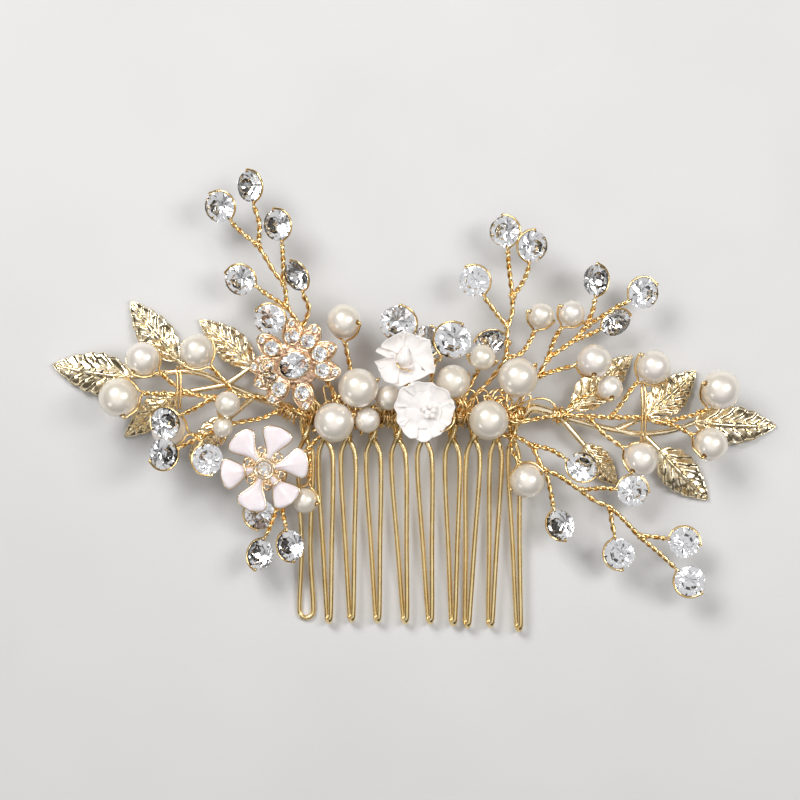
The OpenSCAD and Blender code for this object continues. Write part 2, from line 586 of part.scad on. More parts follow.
// Six shallow petal cups round a stone cup, with a wire loop between neighbours.
module enamel_flower_base() {
  color("goldenrod")
    translate(ENAMEL_AT)
      rotate([0, 0, ENAMEL_TURN])
        difference() {
          union() {
            cylinder(h = 0.8, r = 3.2);
            cylinder(h = 1.9, r = 1.95);
            for (k = [0 : ENAMEL_PETALS - 1])
              rotate([0, 0, 360 / ENAMEL_PETALS * k]) {
                translate([enamel_ring_r, 0, 0])
                  cylinder(h = 1.2, r = 2.65);
                rotate([0, 0, 180 / ENAMEL_PETALS])
                  translate([4.9, 0, 0.3])
                    rotate_extrude()
                      translate([0.7, 0])
                        circle(r = 0.2);
              }
          }
          translate([0, 0, 0.9])
            cylinder(h = 2, r = 1.68);
          for (k = [0 : ENAMEL_PETALS - 1])
            rotate([0, 0, 360 / ENAMEL_PETALS * k])
              translate([enamel_ring_r + 0.2, 0, 0.4])
                cylinder(h = 2, r = 2.25);
        }
}

module enamel_petals() {
  color("mistyrose")
    translate(ENAMEL_AT)
      rotate([0, 0, ENAMEL_TURN])
        for (k = [0 : ENAMEL_PETALS - 1])
          rotate([0, 0, 360 / ENAMEL_PETALS * k])
            translate([enamel_ring_r + 0.2, 0, 0.4])
              difference() {
                cylinder(h = 0.9, r = 2.2);
                translate([-enamel_ring_r - 0.2, 0, -1])
                  cylinder(h = 4, r = 2.85);
              }
}

module enamel_centre_stone() {
  color("whitesmoke")
    translate(ENAMEL_AT + [0, 0, 0.9])
      stone(1.65, 1.7);
}

// A fired clay flower: a scalloped disc of petals on a conical foot.
module clay_cup(edge_z, thick) {
  linear_extrude(thick)
    polygon([for (a = [0 : 7.5 : 359]) clay_r * (0.93 + 0.07 * cos(CLAY_PETALS * a)) * [cos(a), sin(a)]]);
  translate([0, 0, -edge_z])
    cylinder(h = edge_z + 0.1, r1 = 1.5, r2 = 3.4);
}

module clay_rose() {
  color("white")
    translate(ROSE_AT + [0, 0, 2.3])
      rotate([0, 0, 12]) {
        clay_cup(2.3, 1.0);
        translate([0, 0, 0.5])
          cylinder(h = 1.7, r1 = 1.9, r2 = 0.9);
      }
}

module clay_blossom() {
  color("white")
    translate(BLOSSOM_AT + [0, 0, 2.1]) {
      clay_cup(2.1, 1.0);
      for (k = [0 : 4])
        rotate([0, 0, 72 * k])
          translate([1.1, 0, 0.5])
            cylinder(h = 1.2, r = 0.45);
    }
}

comb_rail();
comb_teeth();
binding_wire();
pearl_pins();
leaf_branch_left();
leaf_branch_right();
wires_left_top();
wires_left_mid();
wires_left_low();
wires_centre_left();
wires_centre_right();
wires_right_top_inner();
wires_right_top_outer();
wires_right_mid();
wires_right_low();
crystals(CRYSTALS_LEFT_TOP);  // crystals_left_top
crystals(CRYSTALS_LEFT_MID);  // crystals_left_mid
crystals(CRYSTALS_LEFT_LOW);  // crystals_left_low
crystals(CRYSTALS_CENTRE);  // crystals_centre
crystals(CRYSTALS_RIGHT_TOP_INNER);  // crystals_right_top_inner
crystals(CRYSTALS_RIGHT_TOP_OUTER);  // crystals_right_top_outer
crystals(CRYSTALS_RIGHT_LOW);  // crystals_right_low
strass_flower_base();
strass_petal_stones();
strass_centre_stone();
enamel_flower_base();
enamel_petals();
enamel_centre_stone();
clay_rose();
clay_blossom();
pearl(1);  // pearl_01
pearl(2);  // pearl_02
pearl(3);  // pearl_03
pearl(4);  // pearl_04
pearl(5);  // pearl_05
pearl(6);  // pearl_06
pearl(7);  // pearl_07
pearl(8);  // pearl_08
pearl(9);  // pearl_09
pearl(10);  // pearl_10
pearl(11);  // pearl_11
pearl(12);  // pearl_12
pearl(13);  // pearl_13
pearl(14);  // pearl_14
pearl(15);  // pearl_15
pearl(16);  // pearl_16
pearl(17);  // pearl_17
pearl(18);  // pearl_18
pearl(19);  // pearl_19
pearl(20);  // pearl_20
pearl(21);  // pearl_21
pearl(22);  // pearl_22
pearl(23);  // pearl_23
pearl(24);  // pearl_24
pearl(25);  // pearl_25
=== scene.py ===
import json
import math
import random
from math import asin, atan2, cos, exp, hypot, pi, radians, sin, sqrt, tau

import bpy
from mathutils import Matrix, Vector, noise


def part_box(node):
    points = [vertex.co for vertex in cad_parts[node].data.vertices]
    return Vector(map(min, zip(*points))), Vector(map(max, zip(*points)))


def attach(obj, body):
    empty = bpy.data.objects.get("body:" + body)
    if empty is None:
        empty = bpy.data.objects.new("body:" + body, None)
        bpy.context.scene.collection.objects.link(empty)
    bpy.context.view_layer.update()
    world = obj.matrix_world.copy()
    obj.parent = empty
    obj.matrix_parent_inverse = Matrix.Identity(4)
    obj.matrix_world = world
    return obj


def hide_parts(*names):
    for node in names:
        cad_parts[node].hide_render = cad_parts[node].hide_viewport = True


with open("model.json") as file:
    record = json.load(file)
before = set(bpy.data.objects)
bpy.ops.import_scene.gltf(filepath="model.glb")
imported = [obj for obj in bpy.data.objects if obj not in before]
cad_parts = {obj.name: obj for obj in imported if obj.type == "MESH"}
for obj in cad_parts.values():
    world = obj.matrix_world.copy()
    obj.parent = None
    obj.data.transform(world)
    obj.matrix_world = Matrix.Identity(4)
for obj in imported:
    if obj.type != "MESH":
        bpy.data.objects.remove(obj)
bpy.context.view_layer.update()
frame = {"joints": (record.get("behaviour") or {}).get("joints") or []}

noise.seed_set(11)  # noise_vector would otherwise take its seed from the clock

# The design is in millimetres, as the CAD is, and every mesh is scaled to metres as it is made.
MM = 0.001
UP = Vector((0, 0, 1))

# ---- Design: axes, routes and places as in the CAD ----
RAIL_Y, RAIL_Z = -3, 3.5
RAIL_START, RAIL_END = -20, 18
RAIL_R = 0.8
HOOK_Z = 4.84
NECK_Y = -6.6
WIRE_R = 0.25
STEM_PITCH, BRANCH_PITCH = 3.3, 2.9  # length of one full turn of the twist
COIL_STEPS = 16  # points in each turn of a coil
ALONG_RAIL = Vector((1, 0, 0))


def hook(x):
    """Where a stem leaves its hook on the rail."""
    return (x, RAIL_Y, HOOK_Z)


# Routes of the pearls' stems, from the joint on the main stem.
PEARL_STEMS = [
    [(-39.2, 1.2, 5.8), (-42.6, 3.2, 6.2), (-44.2, 4.6, 6.6)],
    [(-31.3, 0.9, 5.8), (-32.8, 2.8, 6), (-35, 5.2, 6.4)],
    [(-43.9, 1.2, 6.2), (-47.3, 1.5, 6.6)],
    [(-35.4, 0.6, 5.8)],
    [(-34.5, -4.8, 5)],
    [(-37.6, -6.3, 5.6), (-39, -5.8, 5.8)],
    [hook(-9), (-10.6, 2, 4.8), (-11.6, 7, 5.6), (-12.2, 9.6, 7)],
    [hook(-9), (-9.4, -0.8, 4.7), (-9.5, 1.4, 4.9)],
    [hook(-14.4)],
    [hook(-9)],
    [hook(-5.2), (-5, -0.8, 4.2)],
    [(-18.4, -12, 5.8), (-18.6, -14.2, 5.9)],
    [hook(8), (7.9, -1.4, 4.8)],
    [hook(8), (8.9, 1, 4.9), (10.6, 4.4, 5.4)],
    [hook(13)],
    [(19.2, 2.6, 4.9)],
    [(15.9, 7.6, 6.2), (18.6, 8.4, 6.2), (20.4, 10.9, 6.8)],
    [(23.2, 7.1, 5.9), (24.2, 10.3, 6.6), (25.1, 12, 6.8)],
    [(21.6, 4.4, 5.4), (24.5, 5.3, 5.8), (26.8, 5.9, 6.4)],
    [(34.5, -2.9, 5.8), (36.4, -0.2, 6), (38.6, 2.8, 6.4)],
    [(26.1, -2.6, 5.9), (28.4, 0.2, 6.2), (30.8, 1, 6.5)],
    [(49.6, -2.3, 6), (51.2, -1.8, 6.2)],
    [(43.2, -3.7, 5.8), (46.3, -4.6, 6), (48.4, -5.8, 6.3)],
    [(30.3, -2.6, 5.8), (33.1, -5.6, 5.9), (35.8, -7.6, 6.2)],
    [(16.8, -6, 5.6), (17, -8.6, 5.9), (17.8, -9.9, 6.2)],
]

# Crystals by spray: (centre, diameter, roll about the stem, side of the folded leg, route).
CRYSTALS = {
    "left_top": [
        ((-28.9, 37.6, 7.6), 5.5, -38, 1, [(-27.4, 27.2, 7.6), (-27.2, 31, 7.8), (-28.1, 33.8, 7.7)]),
        ((-34.2, 34, 7.2), 5.5, -20, 1, [(-27.4, 27.2, 7.6), (-30.4, 29.6, 7.5), (-31.8, 31, 7.4)]),
        ((-24.1, 30.8, 7.8), 5.5, -30, 1, [(-22.9, 20.2, 7.6), (-23, 23.5, 7.9), (-23.1, 26.9, 7.9)]),
        ((-30.6, 21.2, 6.8), 5.5, -20, 1, [(-22.2, 16.4, 7.4), (-26.4, 19, 7.2), (-27.4, 19.8, 7.1)]),
        ((-20.7, 21.8, 10.2), 5.5, -45, 1, [(-19.8, 12.6, 6.8), (-18.6, 16.1, 8.4), (-19.2, 17.9, 9.3)]),
        ((-25.4, 14.3, 7.4), 5.5, -15, 1, [(-19.8, 12.6, 6.8), (-21.6, 12, 7.2)]),
    ],
    "left_mid": [
        ((-43.3, -3.8, 11.8), 5.5, 0, 1, [(-35.4, 0.6, 5.8), (-38, -1, 7.5), (-40.2, -2.2, 9.6)]),
        ((-43.8, -9.2, 9.6), 5.5, -15, -1, [(-37.6, -6.3, 5.6), (-40.3, -7.6, 7.6)]),
        ((-36.3, -10.2, 6.4), 5.5, 0, 1, [(-37.6, -6.3, 5.6)]),
    ],
    "left_low": [
        ((-27.3, -19.9, 4.2), 5.5, 0, 1, [(-24.6, -11.2, 6), (-26.9, -15.2, 5.2)]),
        ((-27.1, -26.9, 6.2), 5.5, 35, 1, [(-23.4, -16.5, 5.6), (-25, -21, 5.9), (-25.9, -22.8, 6)]),
        ((-21.8, -25.3, 6.8), 5.5, 30, 1, [(-23.4, -16.5, 5.6), (-23.1, -20, 6), (-22.8, -21.4, 6.3)]),
    ],
    "centre": [
        ((-3, 13.6, 7.6), 6.5, 0, 1, [(-1.4, 3, 5), (-3.6, 6.8, 5.4), (-3.4, 9.4, 6)]),
        ((6.6, 10.6, 8.6), 6.5, 0, -1,
         [hook(4.1), (2.9, 3, 4.9), (3.6, 7, 6.4), (4.6, 7.6, 7.4)]),
        ((1.9, 10.5, 5.6), 5.5, 10, 1, [(-1.4, 3, 5), (0.6, 6.4, 5)]),
    ],
    "right_top_inner": [
        ((13.3, 10.4, 4.6), 5.5, 40, 1, [(16.1, 10.2, 6.5), (16.9, 10.4, 5.6)]),
        ((10.4, 21, 7.4), 5.5, -10, 1, [(16.3, 13, 6.8), (14.3, 15.4, 7.1), (12.6, 17.6, 7.2)]),
        ((15.7, 29.7, 7.2), 5.5, -20, 1, [(17.1, 18.1, 7.1), (16.5, 23.2, 7.3), (16.4, 25.6, 7.3)]),
        ((20.6, 27.1, 8.2), 5.5, 20, -1, [(17.1, 18.1, 7.1), (19.2, 21.4, 7.6), (19.9, 23.2, 7.9)]),
    ],
    "right_top_outer": [
        ((31.7, 21.2, 7.4), 5.5, 35, 1, [(30.1, 13.2, 6.8), (31.2, 16, 7.1), (31.5, 17.2, 7.2)]),
        ((40, 18.9, 7.6), 5.5, 10, -1,
         [(30.1, 13.2, 6.8), (33.4, 15.2, 8), (35.6, 16.6, 8.4), (37, 17.2, 8.2)]),
        ((35.3, 13.8, 5.9), 5.5, 40, -1, [(28, 10.8, 6.6), (30.4, 11.6, 6.4), (31.6, 12.1, 6.3)]),
    ],
    "right_low": [
        ((25.5, -21.7, 6.4), 5.5, 35, 1, [(22.8, -12, 6.3), (23.5, -14.4, 6.2), (24, -17.8, 6.3)]),
        ((29.3, -11.5, 6.8), 5.5, -25, 1, [(20.4, -7.8, 6), (23.6, -8.4, 6.4), (25.6, -9.6, 6.6)]),
        ((38.3, -15.8, 5), 5.5, 0, -1, [(28.9, -15.6, 6.3), (33.1, -15.3, 5.8), (34.2, -15.4, 5.5)]),
        ((35.9, -26.8, 6), 5.5, 15, 1, [(34.3, -18.7, 6.2), (34.5, -21, 6.1), (34.9, -22.8, 6)]),
        ((47.3, -24.8, 6), 5.5, -10, -1, [(39.2, -23.6, 6), (42, -23.8, 6), (43.2, -24, 6)]),
        ((48.3, -31.6, 6), 5.5, 10, 1, [(39.2, -23.6, 6), (42.6, -26.4, 6), (45.2, -28.8, 6)]),
    ],
}

# Sprays: (main stems, pearls that hang on them, group of crystals). Each first stem starts at a hook.
SPRAYS = {
    "left_top": (
        [[hook(-17), (-18.4, 3, 5), (-19.8, 12.6, 6.8), (-22.2, 16.4, 7.4),
          (-22.9, 20.2, 7.6), (-24.9, 23.1, 7.7), (-27.4, 27.2, 7.6)]],
        [], "left_top"),
    "left_mid": (
        [[hook(-18.2), (-18.9, -2.6, 5.9), (-22.6, -0.8, 5.6), (-26.7, 0.5, 5.6),
          (-31.3, 0.9, 5.8), (-35.4, 0.6, 5.8), (-39.2, 1.2, 5.8), (-43.9, 1.2, 6.2)],
         [(-22.6, -0.8, 5.6), (-26.6, -2.9, 5.2), (-31.3, -3.8, 5), (-34.5, -4.8, 5),
          (-37.6, -6.3, 5.6)]],
        [1, 2, 3, 4, 5, 6], "left_mid"),
    "left_low": (
        [[hook(-14.4), (-16.2, -5.8, 5.1), (-18.4, -8.3, 5.6), (-18.4, -12, 5.8)],
         [(-18.4, -8.3, 5.6), (-22.4, -10.4, 5.8), (-24.6, -11.2, 6.2), (-26.3, -11.8, 7.4)],
         [(-22.4, -10.4, 5.8), (-23.4, -16.5, 5.6)]],
        [9, 12], "left_low"),
    "centre_left": (
        [[hook(-13.2), (-15, 3, 6), (-17.4, 5.6, 7.2), (-19.6, 6.2, 7.9)]],
        [7, 8, 10, 11], None),
    "centre_right": (
        [[hook(-0.7), (-1.4, 3, 5), (-1.7, 7.4, 6.5)],
         [hook(4.1), (2.4, -2, 6.6), (1.4, -1.6, 8.5)]],
        [13, 14], "centre"),
    "right_top_inner": (
        [[hook(9.2), (9.7, -0.2, 4.9), (13, 3.4, 5.2), (15.9, 7.6, 6.2),
          (16.1, 10.2, 6.5), (16.3, 13, 6.8), (17, 15.4, 7), (17.1, 18.1, 7.1)]],
        [17], "right_top_inner"),
    "right_top_outer": (
        [[hook(11.8), (11.9, -0.6, 4.7), (15.5, 0.2, 4.9), (19.2, 2.6, 4.9),
          (21.6, 4.4, 5.4), (23.2, 7.1, 5.9), (25.1, 8.7, 6.2), (28, 10.8, 6.6),
          (30.1, 13.2, 6.8)]],
        [16, 18, 19], "right_top_outer"),
    "right_mid": (
        [[hook(15.5), (15.9, -3.2, 5.9), (18.6, -3.6, 6.2), (22.5, -2.9, 6.2),
          (26.1, -2.6, 5.9), (30.3, -2.6, 5.8), (34.5, -2.9, 5.8), (39.5, -2.9, 5.8),
          (43.2, -3.7, 5.8), (47.1, -2.9, 5.9), (49.6, -2.3, 6)]],
        [20, 21, 22, 23, 24], None),
    "right_low": (
        [[hook(13), (13.1, -5.4, 5.4), (15.6, -6, 5.6), (16.8, -6, 5.6),
          (20.4, -7.8, 6), (22, -10.9, 6.2), (22.8, -12, 6.3), (25.3, -13.1, 6.3),
          (28.9, -15.6, 6.3), (31.8, -17.6, 6.2), (34.3, -18.7, 6.2), (37.6, -21.8, 6.1),
          (39.2, -23.6, 6)]],
        [15, 25], "right_low"),
}

# Straight tie wires across the two middle sprays: (x, from y, to y, z).
TIES = {"left_mid": [(-41.7, -0.8, 5.6, 6.35), (-41.1, -0.8, 5.6, 6.35)],
        "right_mid": [(39.8, -6.6, 2.6, 6.3), (40.4, -6.6, 2.6, 6.3)]}

# Teeth: (x at the rail, x at the tip, y at the tip, half width and lift of the end bend, bow share).
TEETH = [
    (-19.3, -19.2, -38.4, 1.20, 0, 1), (-15.8, -15.2, -39, 0.33, 1.8, 1),
    (-11.8, -11.2, -38.8, 0.33, 1.8, 1), (-7.4, -6.6, -38.9, 0.33, 1.8, 1),
    (-3, -1.7, -39.1, 0.33, 1.8, 1), (1.6, 2.7, -39.1, 0.33, 1.8, 1),
    (6.6, 6.8, -39.4, 0.33, 1.8, 1), (10.4, 9.3, -39.8, 0.33, 1.8, 0.95),
    (14.4, 13.4, -39.7, 0.33, 1.8, 0.8), (17.3, 18.4, -40.4, 0.33, 1.8, 0.75),
]

# Leaf castings: (root, stems, leaves), each leaf (base, tip, width, sideways bend).
CASTINGS = {
    "left": (
        [(-20.9, -3, 3.5), (-24, -0.6, 3.6), (-28.2, 0.9, 3.6)],
        [[(-28.2, 0.9, 3.6), (-33.2, 2.9, 3.5), (-38.8, 5.1, 3.4), (-50.2, 4.2, 3)],
         [(-38.8, 5.1, 3.4), (-42, 7.4, 3)],
         [(-33.2, 2.9, 3.5), (-28.5, 6.2, 3.2)],
         [(-33.2, 2.9, 3.5), (-42.3, 1.2, 3)],
         [(-28.2, 0.9, 3.6), (-32.6, -2.9, 3)]],
        [((-50.2, 4.2, 3), (-64.2, 6.5, 0.6), 7.4, -1.1),
         ((-42, 7.4, 3), (-50.4, 17.8, 0.6), 6.3, -0.9),
         ((-28.5, 6.2, 3.2), (-38.2, 14.5, 0.6), 5.8, 0.7),
         ((-42.3, 1.2, 3), (-51.5, -6.3, 0.6), 5.4, -0.5),
         ((-32.6, -2.9, 3), (-40.1, -10.4, 0.9), 5, 0.5)]),
    "right": (
        [(19, -3, 3.5), (20.4, -1.3, 3.8), (23.1, -1.7, 4), (25.3, -2.5, 4)],
        [[(25.3, -2.5, 4), (31.2, -4.2, 3.8), (35.4, -5.1, 3.6), (40.1, -5.8, 3.4),
          (45.7, -5.1, 3.2), (49.5, -3.7, 3)],
         [(40.1, -5.8, 3.4), (43.2, -8.7, 3)],
         [(35.4, -5.1, 3.6), (40.9, -2.6, 3)],
         [(25.3, -2.5, 4), (28, -1.4, 3.4)],
         [(25.3, -2.5, 4), (30, -7.9, 3)]],
        [((49.5, -3.7, 3), (64.2, -4.4, 0.6), 7, 0.9),
         ((43.2, -8.7, 3), (52.1, -17.5, 0.6), 6.7, 0.8),
         ((40.9, -2.6, 3), (49.9, 5.4, 0.6), 6.5, 0.6),
         ((28, -1.4, 3.4), (38.7, 8.2, 0.6), 6.5, -0.7),
         ((30, -7.9, 3), (35.9, -14.9, 0.9), 5, 0.4)]),
}

# The two cast flowers and the two clay flowers.
STRASS_AT = Vector((-20.8, 6.4, 9.2))
STRASS_TILT = (8, -10)
STRASS_ANGLES = [93, 59, 24, -10, -76, -125, -154, -178, 142]
STRASS_RING_R, STRASS_TIP_R = 5, 7.3
ENAMEL_AT = Vector((-26.3, -11.8, 7.9))
ENAMEL_TURN = 9
ROSE_AT = Vector((-1.7, 7.4, 9.3))
BLOSSOM_AT = Vector((1.4, -1.6, 11.1))


# ---- Materials ----
def surface(name, colour, shine, *bumps, **constants):
    """A Principled material whose colour, roughness and bump come from noise in the part's own space.

    Each row starts with its noise: grains per mm and detail. Then colour has stops (position, colour),
    shine the lowest and highest roughness, and each bump its height in mm.
    """
    material = bpy.data.materials.new(name)
    material.use_nodes = True
    nodes, links = material.node_tree.nodes, material.node_tree.links
    shader = nodes["Principled BSDF"]
    for socket, value in constants.items():
        shader.inputs[socket.replace("_", " ")].default_value = value
    place = nodes.new("ShaderNodeTexCoord").outputs["Object"]

    def add_node(kind, **values):
        node = nodes.new("ShaderNode" + kind)
        for socket, value in values.items():
            node.inputs[socket.replace("_", " ")].default_value = value
        return node

    def grains(per_mm, detail):
        node = add_node("TexNoise", Scale=per_mm / MM, Detail=detail, Roughness=0.55)
        links.new(place, node.inputs["Vector"])
        return node.outputs["Fac"]

    ramp = nodes.new("ShaderNodeValToRGB")
    for i, (at, rgb) in enumerate(colour[2:]):
        stop = ramp.color_ramp.elements[i] if i < 2 else ramp.color_ramp.elements.new(at)
        stop.position = at
        stop.color = (*rgb, 1)
    links.new(grains(*colour[:2]), ramp.inputs["Fac"])
    links.new(ramp.outputs["Color"], shader.inputs["Base Color"])
    span = add_node("MapRange", To_Min=shine[2], To_Max=shine[3])
    links.new(grains(*shine[:2]), span.inputs["Value"])
    links.new(span.outputs["Result"], shader.inputs["Roughness"])
    last = None
    for per_mm, detail, height in bumps:
        bump = add_node("Bump", Strength=1.0, Distance=height * MM)
        links.new(grains(per_mm, detail), bump.inputs["Height"])
        if last:
            links.new(last, bump.inputs["Normal"])
        last = bump.outputs["Normal"]
    if last:
        links.new(last, shader.inputs["Normal"])
    return material


def gold(name, deep, light, shine, grain, height):
    """Plated metal: deep and light colours, roughness range, grain per mm and its bump height."""
    colour = (0.35, 3, (0.3, deep), (0.72, light))
    return surface(name, colour, (1.6, 4, *shine), (grain, 3, height), Metallic=1.0)


WIRE = gold("wire_gold_plate", (0.84, 0.54, 0.21), (0.99, 0.78, 0.43), (0.10, 0.24), 5.0, 0.010)
TOOTH = gold("tooth_gold_plate", (0.88, 0.64, 0.28), (0.98, 0.80, 0.45), (0.16, 0.30), 4.0, 0.012)
LEAF = gold("leaf_gold_plate", (0.90, 0.72, 0.43), (1.0, 0.89, 0.66), (0.09, 0.22), 2.4, 0.035)
ROSE_METAL = gold("rose_gold_plate", (0.72, 0.42, 0.24), (0.95, 0.68, 0.50), (0.14, 0.34), 3.0, 0.09)
RIM_METAL = gold("rim_gold_plate", (0.88, 0.62, 0.34), (0.99, 0.82, 0.60), (0.08, 0.2), 3.0, 0.02)
PEARL = surface("pearl_coat",
                (0.12, 1, (0.3, (0.90, 0.82, 0.68)), (0.5, (0.93, 0.86, 0.75)), (0.7, (0.94, 0.87, 0.80))),
                (0.4, 1, 0.27, 0.34),
                Metallic=0.34, Coat_Weight=1.0, Coat_Roughness=0.07, Coat_IOR=1.7, Specular_IOR_Level=0.8,
                IOR=1.5, Sheen_Weight=0.1, Sheen_Roughness=0.35, Sheen_Tint=(1.0, 0.93, 0.88, 1))
CORE = surface("pearl_core", (3.0, 3, (0.3, (0.42, 0.30, 0.13)), (0.7, (0.72, 0.58, 0.34))),
               (4.0, 2, 0.4, 0.65), (5.0, 3, 0.03))
CROWN = surface("crystal_crown", (0.3, 2, (0.3, (0.99, 0.99, 1.0)), (0.7, (1.0, 1.0, 0.995))),
                (3.0, 2, 0.0, 0.012), Transmission_Weight=1.0, IOR=1.58)
FOIL = surface("crystal_foil", (0.9, 3, (0.3, (0.88, 0.88, 0.885)), (0.7, (0.97, 0.97, 0.97))),
               (2.2, 3, 0.03, 0.09), Metallic=1.0)
ENAMEL = surface("satin_enamel", (0.35, 3, (0.3, (0.86, 0.75, 0.77)), (0.72, (0.93, 0.87, 0.88))),
                 (1.5, 3, 0.25, 0.4), (0.9, 3, 0.05),
                 Coat_Weight=0.45, Coat_Roughness=0.16, Specular_IOR_Level=0.55, Sheen_Weight=0.3,
                 Sheen_Roughness=0.4, Subsurface_Weight=0.1, Subsurface_Scale=0.0008)
CLAY = surface("matt_clay", (0.6, 4, (0.25, (0.90, 0.83, 0.78)), (0.75, (0.96, 0.92, 0.89))),
               (2.0, 3, 0.5, 0.7), (1.4, 4, 0.05), (9.0, 2, 0.008),
               Specular_IOR_Level=0.32, Subsurface_Weight=0.18, Subsurface_Scale=0.001,
               Subsurface_Radius=(1.0, 0.75, 0.6))
FLOOR = surface("floor_paint", (0.02, 3, (0.3, (0.66, 0.655, 0.65)), (0.7, (0.70, 0.695, 0.69))),
                (0.5, 2, 0.55, 0.65), (1.5, 3, 0.02), Specular_IOR_Level=0.3)


# ---- Meshes ----
def spin(axis, degrees):
    return Matrix.Rotation(radians(degrees), 4, axis)


def move(*by):
    return Matrix.Translation(by)


def ripple(x, y, z):
    return noise.noise(Vector((x, y, z)))


def add_to_scene(name, data):
    o = bpy.data.objects.new(name, data)
    bpy.context.scene.collection.objects.link(o)
    return o


def quads(rows, cols, closed=False):
    """Faces of a sheet whose rows are rings of cols points; closed joins the last row to the first."""
    faces = []
    for i in range(rows if closed else rows - 1):
        a, b = i * cols, (i + 1) % rows * cols
        faces += [(a + k, a + (k + 1) % cols, b + (k + 1) % cols, b + k) for k in range(cols)]
    return faces


def smooth_route(points, step=0.25):
    """A centripetal Catmull-Rom curve through the points, about one step apart."""
    pts = [Vector(p) for p in points]
    if len(pts) == 2:
        count = max(2, int((pts[1] - pts[0]).length / step))
        return [pts[0].lerp(pts[1], i / count) for i in range(count + 1)]
    pts = [2 * pts[0] - pts[1]] + pts + [2 * pts[-1] - pts[-2]]
    out = []
    for i in range(1, len(pts) - 2):
        p0, p1, p2, p3 = pts[i - 1:i + 3]
        t1 = (p1 - p0).length ** 0.5
        t2 = t1 + (p2 - p1).length ** 0.5
        t3 = t2 + (p3 - p2).length ** 0.5
        count = max(2, int((p2 - p1).length / step))
        for k in range(count):
            t = t1 + (t2 - t1) * k / count
            a1 = p0.lerp(p1, t / t1)
            a2 = p1.lerp(p2, (t - t1) / (t2 - t1))
            a3 = p2.lerp(p3, (t - t2) / (t3 - t2))
            b1 = a1.lerp(a2, t / t2)
            b2 = a2.lerp(a3, (t - t1) / (t3 - t1))
            out.append(b1.lerp(b2, (t - t1) / (t2 - t1)))
    return out + [pts[-2]]


def travelling_frames(path):
    """Two directions square to the path at each point, turned as little as possible along it."""
    last = len(path) - 1
    frames, side = [], None
    for i in range(len(path)):
        along = (path[min(i + 1, last)] - path[max(i - 1, 0)]).normalized()
        if side is None:
            side = along.orthogonal()
        side = (side - along * side.dot(along)).normalized()
        frames.append((side, along.cross(side)))
    return frames


